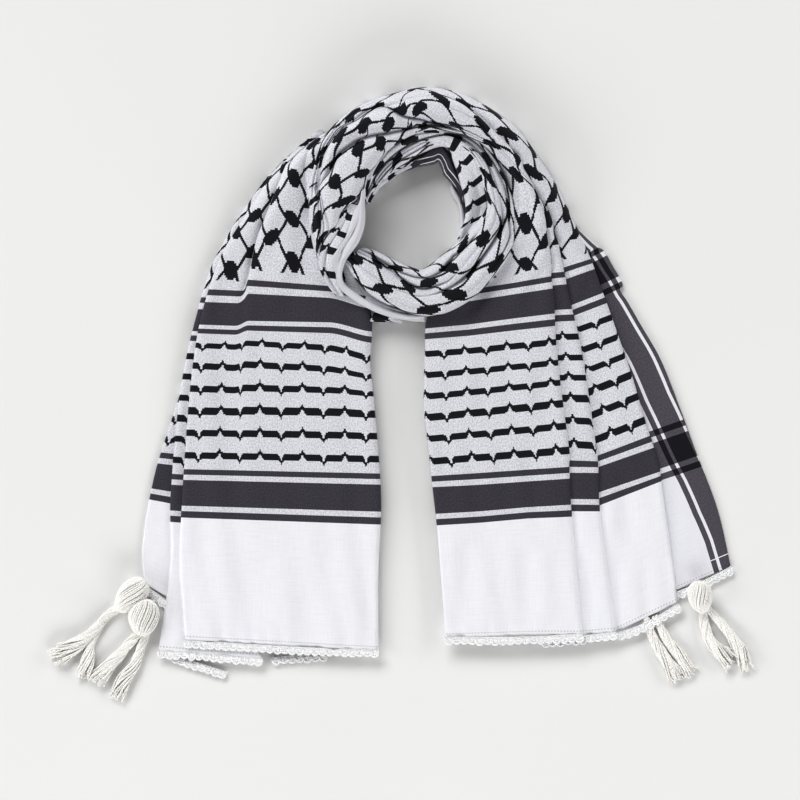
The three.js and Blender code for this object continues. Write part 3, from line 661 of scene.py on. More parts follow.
WRAP_SECTION = ((0, 8.8, 2, 3, 2, 3), (12, 9.6, 2.5, 3, 2.5, 3), (55, 10, 2.5, 3, 2.5, 3),
    (109, 10.8, 2.6, 3, 2.6, 3), (138, 11.2, 2.6, 3, 2.6, 3), (179, 11.9, 2.8, 3, 2.8, 3),
    (221, 12.6, 3, 3.5, 3, 3.5), (251, 13.2, 3.5, 4, 3.5, 5), (275, 14.5, 6, 8, 6, 8),
    (300, 17, 10, 14, 12, 14), (322, 21, 15, 20, 18, 20), (344, 25.5, 19, 23, 24, 20),
    (366, 28, 20, 20, 27, 20), (393, 30, 17, 12, 29, 19), (421, 31, 14, 10, 30, 19),
    (446, 31, 12, 9, 30, 19), (472, 31, 11, 8, 30, 19), (499, 31, 11, 8, 28, 19),
    (524, 31, 11, 8, 16, 12), (546, 31, 10, 8, 14, 12), (568, 31, 9, 8, 15, 10), (584, 29, 8, 7, 15, 9),
    (606, 25, 7, 5, 12, 7), (622, 20, 5, 3, 8, 4), (640, 15, 2, 2, 3, 2))
FRONT_PLEAT = ((0, 135, -180), (91.5, 127, -91.5), (109, 125.6, -73.5), (127, 124.9, -54.75),
    (138, 124.9, -41.6), (221, 115, 39), (251, 113.6, 70), (269, 111.4, 87.75), (278, 111.4, 96.8),
    (295, 109.9, 109.5), (313, 107.6, 123), (328, 105.4, 135.8), (345, 98, 153), (365, 88, 166),
    (386, 73, 184), (416, 52, 205), (440, 30, 215), (450, 19.1, 222), (480, -12, 214), (524, -50, 186),
    (560, -62, 149), (600, -62, 112))
SIDE_PLEAT = ((0, 160, -178), (95, 148, -88), (113, 147, -69.4), (142, 145, -38.3), (225, 132, 43.5),
    (253, 124.9, 72.75), (271, 121.3, 90.75), (298, 116.6, 113.2), (307, 114.4, 119.2),
    (327, 109.9, 135.8), (334, 105.4, 141.8), (346, 97.9, 153), (358, 91.9, 164.2), (371, 87.4, 177),
    (378, 82.1, 182.2), (397, 68.6, 195.8), (416, 53.6, 210), (434, 37.1, 220.5), (450, 19.1, 227.2),
    (480, -14, 221), (524, -55, 189), (560, -67, 149.5), (600, -65, 109))
OUTER_LOOP_FOLD = ((0, 100, -180), (109, 92, -76), (138, 89, -44.7), (251, 84, 66), (300, 90, 108),
    (344, 93, 151), (379, 74, 180), (416, 45.4, 196.5), (437, 29.6, 199.5), (457, 14.6, 204.8),
    (473, -0.4, 207.8), (482, -13.1, 215.2), (492, -23.6, 211.5), (503, -33.4, 204.8),
    (515, -46.9, 197.2), (523, -52.9, 189), (530, -57.4, 181.5), (537, -60.4, 173.2),
    (544, -61.9, 164.2), (560, -60, 148.5), (600, -61, 113))
INNER_LOOP_FOLD = ((0, 66, -181), (109, 58, -78.7), (138, 55, -47.3), (251, 50, 61), (300, 70, 105),
    (344, 86, 149), (400, 58, 190), (444, 24.4, 200.2), (460, 13.1, 199.5), (475, 1.9, 197.2),
    (494, -13.9, 194.2), (511, -31.1, 190.5), (527, -46.1, 180), (542, -54.4, 165), (550, -60.4, 157.5),
    (558, -62, 151.5), (600, -58, 115))
WRAP_FOLDS = (
    dict(path=INNER_LOOP_FOLD, over=((0, 1), (520, 1), (535, -1)),
         deep=((0, 0), (415, 0), (445, 8), (540, 8), (565, 1), (575, 0)),
         hidden=((0, 0), (425, 0), (460, 4), (545, 4), (570, 0)), reach=4),
    dict(path=OUTER_LOOP_FOLD, over=((0, 1), (478, 1), (492, -1)),
         deep=((0, 0), (395, 0), (430, 8), (545, 9), (568, 3), (585, 0)),
         hidden=((0, 0), (400, 0), (430, 6), (545, 6), (565, 0)), reach=4),
    dict(path=FRONT_PLEAT, over=-1, step=((0, 2.3), (251, 3), (300, 2.5), (328, 1), (345, 0)),
         deep=((0, 0.5), (251, 1.2), (300, 2.2), (330, 2), (350, 0)),
         shift=((0, 0), (91, -4), (221, -4), (251, -2), (269, -2.3), (330, 0)),
         hidden=((0, 16), (141, 16), (157, 15), (172, 15), (190, 15.5), (208, 17.2), (226, 18.6),
                 (300, 18), (350, 0)), reach=4),
    dict(path=SIDE_PLEAT, over=-1, step=((0, 2.3), (251, 2.4), (300, 2), (340, 1), (365, 0)),
         deep=((0, 0.5), (251, 1.2), (300, 3), (420, 3), (460, 0)),
         shift=((0, 0), (109, -4.9), (138, -3.7), (221, -6), (251, -2.5), (269, -3.7), (330, 0)),
         hidden=((0, 0), (139, 0), (157, 3.3), (172, 8), (189, 13), (210, 18.8), (251, 20),
                 (300, 15.5), (420, 8), (460, 0)), reach=4),
)
right_wrap = folded_strip(
    "right_tail_and_neck_wrap", WRAP_EDGES, WRAP_SECTION, WRAP_FOLDS,
    u_line=((0, 0.43, 79.5), (138, 0.477, 79.5), (220, 0.536, 79.5), (278, 0.556, 79.5),
            (300, 0.5, 79.5), (322, 0.38, 79.5), (344, 0.3, 80.2), (385, 0.38, 86.9),
            (420, 0.4, 93.5), (455, 0.4, 74.4), (490, 0.4, 80.6), (525, 0.4, 78.5),
            (560, 0.43, 72.8), (600, 0.5, 64.7), (640, 0.5, 64.7)),
    v_line=((0, 0), (262, 262), (300, 297), (344, 331.7), (385, 372.5), (420, 404.7), (455, 436.9),
            (490, 475.4), (525, 511), (560, 547.4), (600, 584.9), (640, 624)),
    material=cotton,
    nodes=("right_tail_front_panel", "right_tail_middle_pleat", "right_tail_side_pleat",
           "right_tail_inner_folds", "neck_outer_wrap", "neck_outer_inner_folds", "neck_left_rise",
           "neck_left_inner_folds"),
    seed=5, wave=1.0, step=1.7, crown=((0, 0), (300, 0.3), (400, 1.6), (560, 1.8), (640, 1)),
    pucker=0.45)

# %% [markdown]
# ## Border layer
# Under the right tail lies one single layer with the woven selvage: a broad black band along the
# folded edge, and a narrow one inside it. One layer lets the table through, so its black is greyer.

# %% Border layer
BORDER_EDGES = ((0, 112, -188, 246, -129), (55, 110, -128, 236, -86), (109, 108, -76, 218, -38),
    (138, 106, -44, 207, -8), (179, 104, -3, 193, 27), (205, 102, 22, 178, 53),
    (221, 101, 38, 168.5, 69.5), (231, 100, 47, 163.2, 78), (235, 99.6, 51, 165.2, 82),
    (251, 97, 68, 157, 97), (266, 95.4, 79, 150.3, 108.2), (270, 95, 82, 145.6, 110.4),
    (300, 92, 108, 134.5, 120.5), (330, 94, 130, 121, 134))
border_cotton = figured_cotton(
    "single layer selvage voile", "#EAEAEF", "#605D64", FIGURE_BLACK,
    selvage=((0, 1), (3.7, 0), (6.7, 1), (21.2, 0), (24.2, 1), (27.9, 0)), margin=True)
border_layer = folded_strip(
    "right_tail_selvage_layer", BORDER_EDGES,
    ((0, 2.2, 0.8, 2, 1.4, 2), (109, 2.4, 0.8, 2, 1.5, 2), (251, 3.4, 1, 3, 2.4, 3),
     (330, 5, 1, 3, 4, 5)),
    (), u_line=((0, 1.0, -14), (30, 1.0, -12), (57, 1.0, -8.5), (85, 1.0, -6.8), (100, 1.0, -5),
                (128, 1.0, -2.5), (150, 1.0, -0.5), (170, 1.0, 0), (231, 1.0, 0), (235, 1.0, 3.8),
                (266, 1.0, 5), (270, 1.0, 0.3), (330, 1.0, 0)),
    v_line=((0, 0), (330, 330)), material=border_cotton,
    nodes=("right_tail_border_layer",), seed=11, wave=0.4)

# %% [markdown]
# ## Inner ring
# A second turn of cloth lies inside the loop. It comes from under the left column, crosses low over
# both tails as the front band, and goes up the right side of the neck opening and over its back.

# %% Front band and inner wrap
BAND_EDGES = ((0, -44, 98, -30.4, 110), (10, -37, 87.5, -21.4, 108), (24, -27.5, 77, -9.4, 102),
    (33, -19.5, 71, -2.5, 99), (42, -8.6, 65.5, 4.1, 96), (58, 11.6, 58.5, 15.4, 94.1),
    (75, 31.9, 60, 26.6, 102), (93, 52.1, 70.9, 37.9, 111), (109, 64.1, 82.5, 47.6, 121.5),
    (126, 76.9, 99, 55.9, 132), (140, 84.4, 115.5, 61.1, 141), (159, 84.4, 139.5, 59.6, 153),
    (178, 76.1, 163.5, 56.6, 167.2), (196, 64.9, 181.5, 50.5, 178), (214, 49.1, 193.9, 40.1, 186),
    (233, 25.1, 199.5, 25.1, 186), (253, 1.9, 196.5, 10.1, 177), (272, -14.6, 183.8, -4.1, 168.8),
    (291, -25.9, 166.5, -16.1, 157.5), (308, -30.4, 148.5, -25.1, 143.2))
BAND_SECTION = ((0, 22, 8, 8, 14, 10), (24, 25, 12, 10, 20, 12), (58, 27, 15, 12, 25, 12),
    (93, 28, 14, 12, 26, 12), (126, 28.5, 15, 13, 27, 11), (159, 28.5, 17, 14, 20, 9),
    (196, 28, 12, 11, 8, 6), (233, 27, 4, 6, 8, 6), (272, 25, 4, 6, 12, 7), (308, 22, 4, 5, 14, 6))
BAND_FOLDS = (
    dict(path=((0, 0.16), (97, 0.15), (125, 0.14), (140, 0.16), (147, 0.24), (168, 0.19),
               (201, 0.21), (308, 0.2)), over=-1,
         deep=((0, 0), (120, 0), (145, 8), (201, 8), (235, 6), (308, 6)), reach=5),
    dict(path=((0, 0.35), (76, 0.4), (104, 0.42), (113, 0.44), (120, 0.45), (133, 0.46), (139, 0.45),
               (170, 0.5), (308, 0.5)), over=((0, 1), (150, 1), (170, -1), (308, -1)),
         deep=((0, 0), (66, 0), (90, 8), (139, 8), (160, 1), (180, 7), (308, 7)), reach=5),
    dict(path=((0, 0.7), (24, 0.75), (30, 0.74), (43, 0.66), (48, 0.61), (59, 0.57), (66, 0.55),
               (80, 0.52), (100, 0.6), (140, 0.65), (308, 0.7)), over=1,
         deep=((0, 0), (12, 0), (26, 8), (66, 8), (88, 0)), reach=5),
    dict(path=((0, 0.85), (12, 0.83), (41, 0.8), (57, 0.8), (64, 0.76), (71, 0.74), (76, 0.74),
               (90, 0.84), (104, 0.8), (150, 0.8), (308, 0.85)), over=1,
         deep=((0, 0), (10, 7), (64, 7), (84, 7), (104, 6), (120, 0), (200, 0), (230, 5), (308, 5)),
         reach=5),
)
inner_ring = folded_strip(
    "neck_inner_ring", BAND_EDGES, BAND_SECTION, BAND_FOLDS,
    u_line=((0, 0.3, -3.1), (30, 0.3, 0.5), (60, 0.3, 6.9), (90, 0.3, 22.4), (120, 0.3, 24.9),
            (150, 0.3, 21.2), (180, 0.3, 14.6), (308, 0.3, 14.6)),
    v_line=((0, 295.7), (30, 327.4), (60, 358.7), (90, 383.5), (120, 408.6), (150, 437),
            (180, 462), (308, 590)),
    material=cotton,
    nodes=("neck_front_band", "neck_front_inner_folds", "neck_inner_wrap", "neck_back_inner_folds"),
    seed=13, wave=0.5, spread=(20, 60), crown=1.8)

# %% [markdown]
# Inside the ring, the edge of the scarf itself looks out. First comes a stretch with leaf bars across
# it, then the dark selvage stripes with their thin white lines, and the pale cloth below them. A pale
# fold looks out at the back of the opening too.

# %% Inner edge
INNER_EDGE = ((0, 1.1, 183.8, 1.9, 174), (8, 8.6, 186.8, 9.4, 177.8), (17, 16.9, 189.8, 16.9, 180.8),
    (25, 25.1, 192, 24.4, 183.8), (32, 33.4, 192.8, 31.1, 184.5), (39, 40.9, 190.5, 35.6, 180),
    (47, 48.4, 186, 37.9, 173.2), (56, 54.4, 179.2, 40.9, 165), (64, 58.1, 171, 43.1, 156.8),
    (73, 61.1, 162, 45.4, 149.2), (82, 63.4, 153, 46.9, 141), (89, 65.6, 144.8, 46.9, 134.2),
    (97, 64.1, 136.5, 45.4, 127.5), (105, 58.1, 129, 42.4, 121.5), (114, 50.6, 120, 40.9, 115.5))
inner_edge = folded_strip(
    "neck_inner_edge_cloth", INNER_EDGE,
    ((0, 13, 1, 4, 5, 4), (12, 17, 1, 4, 5, 4), (24, 20.5, 1, 4, 6, 4), (34, 22, 1, 4, 6, 4),
     (64, 22.5, 1, 5, 7, 4), (114, 17, 1, 5, 5, 4)),
    (dict(path=((0, 0.4), (60, 0.35), (114, 0.4)), over=0, deep=1.2, reach=4),),
    u_line=((0, 0.3, 24), (114, 0.3, 24)),
    v_line=((0, 232.6), (28, 229.6), (40, 220.6), (55, 204), (72, 187.4), (86, 170.8),
            (100, 154.2), (114, 140)),
    material=cotton, nodes=("neck_inner_edge",), seed=17, wave=0.3)

STRIPE_BAND = ((0, -0.4, 171, 1.1, 167.2), (8, 7.1, 173.2, 8.6, 169.5), (16, 14.6, 177.8, 16.1, 171),
    (24, 22.1, 183, 23.6, 172.5), (30, 28.9, 185.2, 26.6, 174), (38, 34.1, 179.2, 28.9, 171),
    (45, 37.1, 172.5, 31.1, 164.2), (53, 40.1, 165, 35.6, 159), (60, 43.1, 157.5, 40.1, 153),
    (67, 45.4, 150.8, 43.1, 147.8), (72, 46.1, 145.5, 44.6, 143.2))
selvage_cotton = figured_cotton(
    "selvage stripes of cotton voile", COTTON_WHITE, STRIPE_BLACK, FIGURE_BLACK,
    selvage=((0, 0), (0.8, 1), (4.8, 0), (5.6, 1), (30, 1)))
selvage_edge = folded_strip(
    "neck_selvage_stripes", STRIPE_BAND,
    ((0, 10, 1, 2, 9, 3), (12, 14, 1, 2, 13, 3), (30, 16, 1, 2, 15, 4), (72, 11, 1, 2, 10, 3)),
    (dict(path=((0, 0.5), (72, 0.5)), over=0, deep=1.5, reach=2.5),),
    u_line=((0, 0.5, -1.9), (8, 0.5, -1.9), (16, 0.5, -3.5), (24, 0.5, -5.3), (30, 0.5, -5.7),
            (45, 0.5, -5.1), (53, 0.5, -3.8), (67, 0.5, -1.9), (72, 0.5, -1.4)),
    v_line=((0, 15), (72, 87)), material=selvage_cotton,
    nodes=("neck_inner_edge",), seed=18, wave=0.3)

# Plain white cotton that lies in shade, painted a flat grey (#DCDCE1) as painted shade: the edge low in
# the opening, the twist and the fold below the band
plain_cotton_in_painted_shade = figured_cotton("plain cotton voile greyed as painted shade", "#DCDCE1", "#DCDCE1", "#DCDCE1")
INNER_PALE = ((0, 37, 158, 35.6, 154), (9, 41, 151, 38.4, 146.5), (17, 44.2, 145.5, 41.4, 141.5),
    (24, 46, 139, 42.6, 135), (32, 47, 131, 43, 127.5), (40, 46.5, 123, 43.2, 120),
    (48, 44.1, 116.5, 42.4, 114.5))
inner_pale = folded_strip(
    "neck_plain_edge_in_painted_shade", INNER_PALE,
    ((0, 6, 2, 3, 4, 3), (24, 6, 2, 3, 4.5, 3), (48, 6, 2, 3, 4, 3)),
    (), u_line=((0, 0.5, 8), (48, 0.5, 8)), v_line=((0, 20), (48, 68)), material=plain_cotton_in_painted_shade,
    nodes=("neck_inner_edge",), seed=20, wave=0.3)
BACK_PALE = ((0, 12.8, 177, 13.2, 173.5), (12, 1.5, 172, 2.6, 168.8), (24, -6, 168.4, -3.8, 165.8),
    (35, -11.4, 164.3, -9.8, 162), (48, -19.4, 158, -17.2, 155.2), (60, -25, 151, -22.4, 149),
    (70, -28.2, 145.2, -25.6, 142.8))
back_pale = folded_strip(
    "neck_pale_back_fold", BACK_PALE,
    ((0, 12, 1.5, 1, 11, 2.5), (35, 13, 1.5, 1, 12, 2.5), (70, 12, 1.5, 1, 11, 2.5)),
    (), u_line=((0, 0.5, 10), (70, 0.5, 10)), v_line=((0, 300), (70, 370)), material=cotton,
    nodes=("neck_inner_edge",), seed=24, wave=0.3)

# %% [markdown]
# ## Selvage twist
# At the left of the opening the plain white edge of the scarf turns over and sweeps down, then runs
# along under the front band. Beside it, a narrow fold shows leaf bars, and a pale one lies below.

# %% Selvage twist and the folds beside it
TWIST_EDGES = ((0, -30.8, 150.8, -28.9, 153), (8, -32.3, 143.2, -28.1, 144.8),
    (17, -36.8, 134.2, -27.6, 136.5), (25, -39.4, 126, -27.8, 128.6), (34, -42.6, 117, -29.4, 121),
    (42, -47.4, 109.8, -32.6, 113), (49, -52.2, 103.5, -37, 106.5), (56, -55.2, 98.4, -41.4, 100.5),
    (63, -53.6, 92.4, -44, 94.5), (69, -50.4, 86.2, -45, 88.5), (75, -47.6, 79.8, -43.6, 83.2),
    (80, -43.9, 75.5, -40, 79.6), (88, -37.9, 71, -34.6, 75.6), (97, -30.4, 66.2, -27.6, 70.6),
    (106, -21.4, 61.8, -19.9, 66), (117, -10.9, 58.6, -10.1, 62.4), (128, -0.4, 56.4, -0.4, 60.2),
    (137, 8.6, 56, 8.6, 58.9), (145, 16.9, 56.8, 16.9, 58.5))
twist = folded_strip(
    "neck_white_edge_twist", TWIST_EDGES,
    ((0, 28, 1, 1, 6, 1.5), (17, 28.5, 1.2, 2, 9, 4), (34, 28.5, 1.5, 2, 10, 5), (56, 26, 1.5, 2, 7, 4),
     (69, 22, 1.5, 1.5, 3, 2), (80, 18, 2, 1.5, 2, 2), (106, 16.5, 3, 2, 1.5, 1.5),
     (128, 15.5, 3, 2, 1.5, 1.5), (145, 13.5, 3, 1, 2, 1)),
    (dict(path=((0, 0.55), (23, 0.5), (34, 0.3), (40, 0.22), (46, 0.3), (52, 0.5), (60, 0.62),
                (66, 0.5), (145, 0.4)), over=((0, 0), (30, -1), (52, -1), (60, 0)),
          deep=((0, 0), (18, 0.4), (32, 2.6), (48, 3), (62, 1.2), (74, 0), (145, 0)), reach=3),),
    u_line=((0, 0.5, 8), (145, 0.5, 8)), v_line=((0, 20), (145, 60)), material=plain_cotton_in_painted_shade,
    nodes=("neck_selvage_twist",), seed=19, wave=0.3)

UNDER_TWIST = ((0, -39.4, 143.2, -30.4, 141), (8, -44.6, 137.2, -31.9, 133.5),
    (15, -48.4, 129.8, -34.9, 126.8), (23, -51.4, 123.8, -39.4, 119.2), (30, -55.9, 117.8, -43.1, 113.2),
    (38, -59.6, 111, -46.9, 107.2), (45, -61.9, 103.5, -49.1, 101.2), (51, -62.6, 96.8, -49.9, 95.2),
    (57, -61.1, 90.8, -49.1, 89.2), (64, -58.1, 84.8, -47.6, 83.2), (70, -54.4, 78.8, -45.4, 78),
    (76, -49.9, 73.5, -43.1, 72.8))
under_twist = folded_strip(
    "neck_leaf_bar_fold", UNDER_TWIST,
    ((0, 27, 1, 2, 3, 3), (38, 27, 1, 2, 3, 3), (57, 23, 1, 2, 3, 3), (76, 16, 1, 2, 3, 3)),
    (dict(path=((0, 0.45), (40, 0.4), (76, 0.5)), over=1, deep=((0, 0), (20, 2.5), (76, 3)),
          hidden=3, reach=2.5),),
    u_line=((0, 0.55, 24), (76, 0.55, 24)),
    v_line=((0, 126), (12, 137.6), (25, 154.2), (40, 170.8), (58, 187.4), (76, 200)),
    material=cotton, nodes=("neck_selvage_twist", "neck_left_rise"), seed=21, wave=0.2)

BAND_UNDER = ((0, -46.1, 90, -38, 99), (6, -46.1, 84.8, -34.5, 93), (13, -42.4, 79.5, -31, 87),
    (20, -36.4, 74.2, -25.5, 82), (30, -28.9, 69, -17.4, 76), (40, -19.9, 64.5, -8.4, 71),
    (51, -9.4, 60.8, 0.6, 67), (61, 1.9, 58.5, 9.6, 64), (70, 11.6, 57.8, 15.6, 61))
band_under = folded_strip(
    "neck_pale_fold_below_band", BAND_UNDER,
    ((0, 13, 2, 2, 1, 2), (30, 11.5, 2, 2, 1, 2), (70, 10.5, 2, 2, 1, 2)),
    (dict(path=((0, 0.35), (70, 0.35)), over=1, deep=1.6, reach=2.5),),
    u_line=((0, 0.5, 8), (70, 0.5, 8)), v_line=((0, 20), (70, 60)), material=plain_cotton_in_painted_shade,
    nodes=("neck_selvage_twist",), seed=22, wave=0.2)

NET_SCRAP = ((12, -24.8, 53.6, -21.4, 61.2), (21, -15.5, 53, -13, 59.5), (29, -7.5, 54, -6.5, 58.5),
    (36, -0.4, 54.5, -0.4, 57.5))
net_scrap = folded_strip(
    "neck_net_fold_below_twist", NET_SCRAP,
    ((12, 10.6, 4, 2, 1, 2), (21, 11.4, 10, 4, 1, 2), (36, 11, 9.8, 4, 1, 2)),
    (), u_line=((12, 0.5, 15.9), (36, 0.5, 15.9)), v_line=((12, 308), (36, 332)), material=cotton,
    nodes=("neck_selvage_twist",), seed=23, wave=0.2)

# %% [markdown]
# ## Yarn
# The edging and the tassels are cotton yarn. A yarn is a thin tube carried along a path, and hundreds
# of them are made at once: one array of paths in, one mesh out. Each tube has only five or six sides,
# since it is a millimetre or two thick. Its map gives millimetres along the yarn, and a number of its
# own across, so that no two yarns have the same tone.


# %% Tubes along paths
def yarn_tubes(paths, radius, sides=5):
    """Points, faces and uv of closed tubes. Ring point = path point + radius x (cos angle x side +
    sin angle x over), where side is the path's direction turned flat and over stands on both."""
    count, steps, _ = paths.shape
    ahead = np.gradient(paths, axis=1)
    ahead /= np.linalg.norm(ahead, axis=2, keepdims=True)
    side = np.cross(ahead, (0.0, 0.02, 1.0))
    side /= np.linalg.norm(side, axis=2, keepdims=True)
    over = np.cross(side, ahead)
    angle = 2 * np.pi * np.arange(sides) / sides
    radius = np.broadcast_to(radius, (count, steps))[..., None, None]
    ring = (side[:, :, None] * np.cos(angle)[:, None] + over[:, :, None] * np.sin(angle)[:, None])
    points = paths[:, :, None] + radius * ring
    k = np.arange(count * steps * sides).reshape(count, steps, sides)
    turn = np.roll(k, -1, axis=2)
    quads = np.stack([k[:, :-1], k[:, 1:], turn[:, 1:], turn[:, :-1]], -1).reshape(-1, 4)
    faces = quads.tolist() + k[:, 0].tolist() + k[:, -1, ::-1].tolist()
    run = np.cumsum(np.linalg.norm(np.diff(paths, axis=1, prepend=paths[:, :1]), axis=2), 1)
    u = np.repeat(run[..., None], sides, 2)
    v = np.broadcast_to(np.arange(count)[:, None, None] * 7.0 + angle / np.pi, u.shape)
    return points.reshape(-1, 3), faces, np.c_[u.ravel(), v.ravel()]


def joined(parts):
    """One set of points, faces and uv from several."""
    points, faces, uv, start = [], [], [], 0
    for p, f, w in parts:
        points.append(p)
        uv.append(w)
        faces += [[i + start for i in face] for face in f]
        start += len(p)
    return np.concatenate(points), faces, np.concatenate(uv)


# %% Cotton yarn
def yarn_material(name, pale, deep, ply=1.9):
    """Soft spun cotton yarn: plies wind round it, so a slanting wave lifts its surface every ply
    length in mm, and each yarn has a tone of its own between pale and deep. It scatters light
    rather than shining."""
    material, tree = new_material(name)
    spun = add(tree, "UVMap", uv_map="cloth")
    run = add(tree, "SeparateXYZ", spun)
    across = run.node.outputs[1]
    own = calc(tree, "SNAP", across, 7.0)
    own = add(tree, "TexWhiteNoise", ("W", own), noise_dimensions="1D")
    slub = add(tree, "Mapping", spun, ("Scale", (0.22, 0.5, 1)))
    slub = add(tree, "TexNoise", slub, ("Scale", 1.0), ("Detail", 2.0), noise_dimensions="2D")
    blend = calc(tree, "MULTIPLY_ADD", own, 0.5, slub)
    blend = add(tree, "MapRange", blend, 0.3, 1.2, 0.0, 1.0)
    colour = add(tree, "Mix", blend, (6, linear(pale)), (7, linear(deep)), data_type="RGBA", out=2)
    turn = calc(tree, "MULTIPLY", run, 2 * math.pi / ply)
    turn = calc(tree, "MULTIPLY_ADD", across, math.pi, turn)
    plies = calc(tree, "SINE", turn)
    bump = add(tree, "Bump", ("Strength", 0.5), ("Distance", 0.0003), ("Height", plies))
    skin = add(tree, "BsdfPrincipled", ("Base Color", colour), ("Roughness", 0.9), ("Normal", bump),
               ("Sheen Weight", 0.15), ("Sheen Roughness", 0.5), ("Specular IOR Level", 0.15))
    add(tree, "OutputMaterial", skin)
    return material


crochet_cotton = yarn_material("crocheted white cotton yarn", "#FFFFFF", "#FAFAFC", ply=1.6)
tassel_cotton = yarn_material("ecru cotton tassel yarn", "#FFFEFB", "#FAF8F3", ply=2.4)

# %% [markdown]
# ## Crocheted edging
# Both cut ends of the scarf are finished with a narrow crocheted edging: a chain along the hem, and
# from it small fans of stitches, each closed by an arch. A fan repeats every 5.6 mm. The fan is built
# once from five stitches and an arch, and repeated along the hem by arrays.

# %% Edging function
FAN = 5.6            # repeat of the fans along the hem, mm
CHAIN = 1.5          # repeat of the chain stitches, mm


def crochet_edging(name, hem, nodes, seed, depth=6.4, lift=1.9):
    """Fan stitches: from the chain, stitch k runs out to a point on a half ellipse of the fan's
    width and depth; the arch follows that half ellipse. hem: points (x, y), from left to right.
    Its height comes from the node's box."""
    rng = np.random.default_rng(seed)
    hem = np.asarray(hem, float)
    run = np.r_[0, np.cumsum(np.hypot(*np.diff(hem, axis=0).T))]
    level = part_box(nodes[0])[0].z / MM + lift

    def at(s, d, z):
        """Point at s mm along the hem, d mm out from it and z above the level."""
        s, d, z = np.broadcast_arrays(s, d, z)
        p = through(np.c_[run, hem], np.clip(s, 0, run[-1]).ravel())
        q = through(np.c_[run, hem], np.clip(s + 0.5, 0.5, run[-1] + 0.5).ravel())
        back = through(np.c_[run, hem], np.clip(s - 0.5, -0.5, run[-1] - 0.5).ravel())
        t = (q - back) / np.linalg.norm(q - back, axis=1, keepdims=True)
        out = p + np.c_[t[:, 1], -t[:, 0]] * d.reshape(-1, 1)
        return np.c_[out, level + z.ravel()].reshape(*s.shape, 3)

    fans = max(2, round(run[-1] / FAN))
    middle = (np.arange(fans) + 0.5) * run[-1] / fans + rng.uniform(-0.25, 0.25, fans)
    deep = depth * rng.uniform(0.86, 1.04, fans)[:, None]
    parts = []
    t = np.linspace(0, 1, 4)
    for lean in (-0.8, -0.4, 0.0, 0.4, 0.8):                     # five stitches of each fan
        reach = deep * math.sqrt(1 - 0.72 * lean**2)
        s = middle[:, None] + FAN / 2 * lean * (0.45 + 0.5 * t)
        z = 0.35 * np.sin(np.pi * t) + rng.uniform(-0.25, 0.25, (fans, 1))
        parts.append(yarn_tubes(at(s, 0.6 + (reach - 1.3) * t, z), 0.62))
    t = np.linspace(0, np.pi, 9)
    s = middle[:, None] - FAN * 0.5 * np.cos(t) * np.ones((fans, 1))
    d = 1.0 + (deep - 1.9) * np.sin(t) ** 0.75
    parts.append(yarn_tubes(at(s, d, 0.25 + 0.3 * np.sin(5 * t)), 0.85, 6))
    links = int(run[-1] / CHAIN * 4)
    s = np.linspace(0, run[-1], links)[None]
    for k, phase in enumerate((0, np.pi)):                       # two plaited chains
        swing = np.sin(2 * np.pi * s / CHAIN + phase)
        parts.append(yarn_tubes(at(s, 0.1 + 0.45 * swing + 0.6 * k, 0.3 * swing), 0.55))
    points, faces, uv = joined(parts)
    obj = piece_from(name, points, faces, uv, crochet_cotton, nodes)
    print(name, fans, "fans,", len(faces), "faces")
    return obj


# %% Edging on each hem
HEMS = (
    ("left_front", ((-163, -184.6), (-120, -187.2), (-75, -190), (-18, -192))),
    ("left_second", ((-183, -192), (-160, -193.5), (-130, -196), (-105, -198))),
    ("left_inner", ((-98, -197.5), (-80, -196), (-57, -194))),
    ("left_corner", ((-172, -195.5), (-152, -202), (-132, -209))),
    ("left_back", ((-194, -142.5), (-172, -158), (-148, -169))),
    ("right_front", ((32, -182), (70, -182.5), (105, -181.5), (135, -180))),
    ("right_middle", ((104, -184), (130, -182), (160, -178.5))),
    ("right_side", ((160, -180), (179, -173), (207, -157.5))),
    ("right_border", ((180, -158), (206, -148.5), (226, -140), (246, -129.5))),
)
edging = {}
for number, (place, hem) in enumerate(HEMS):
    edging[place] = crochet_edging(place + "_crochet", hem, (place + "_trim",), seed=40 + number)

# %% [markdown]
# ## Tassels
# Each corner has a tassel: a ball wound with cotton yarn, and two strands that start as soft twisted
# rope and open out at their cut ends. A strand is 46 yarns. Each keeps its own place in the
# rope's section, the section turns as it goes, and it widens as the strand's table says.


# %% Tassel strands
YARN_STEPS = 30         # points along each yarn of a strand
YARN_RADIUS = 0.68      # mm


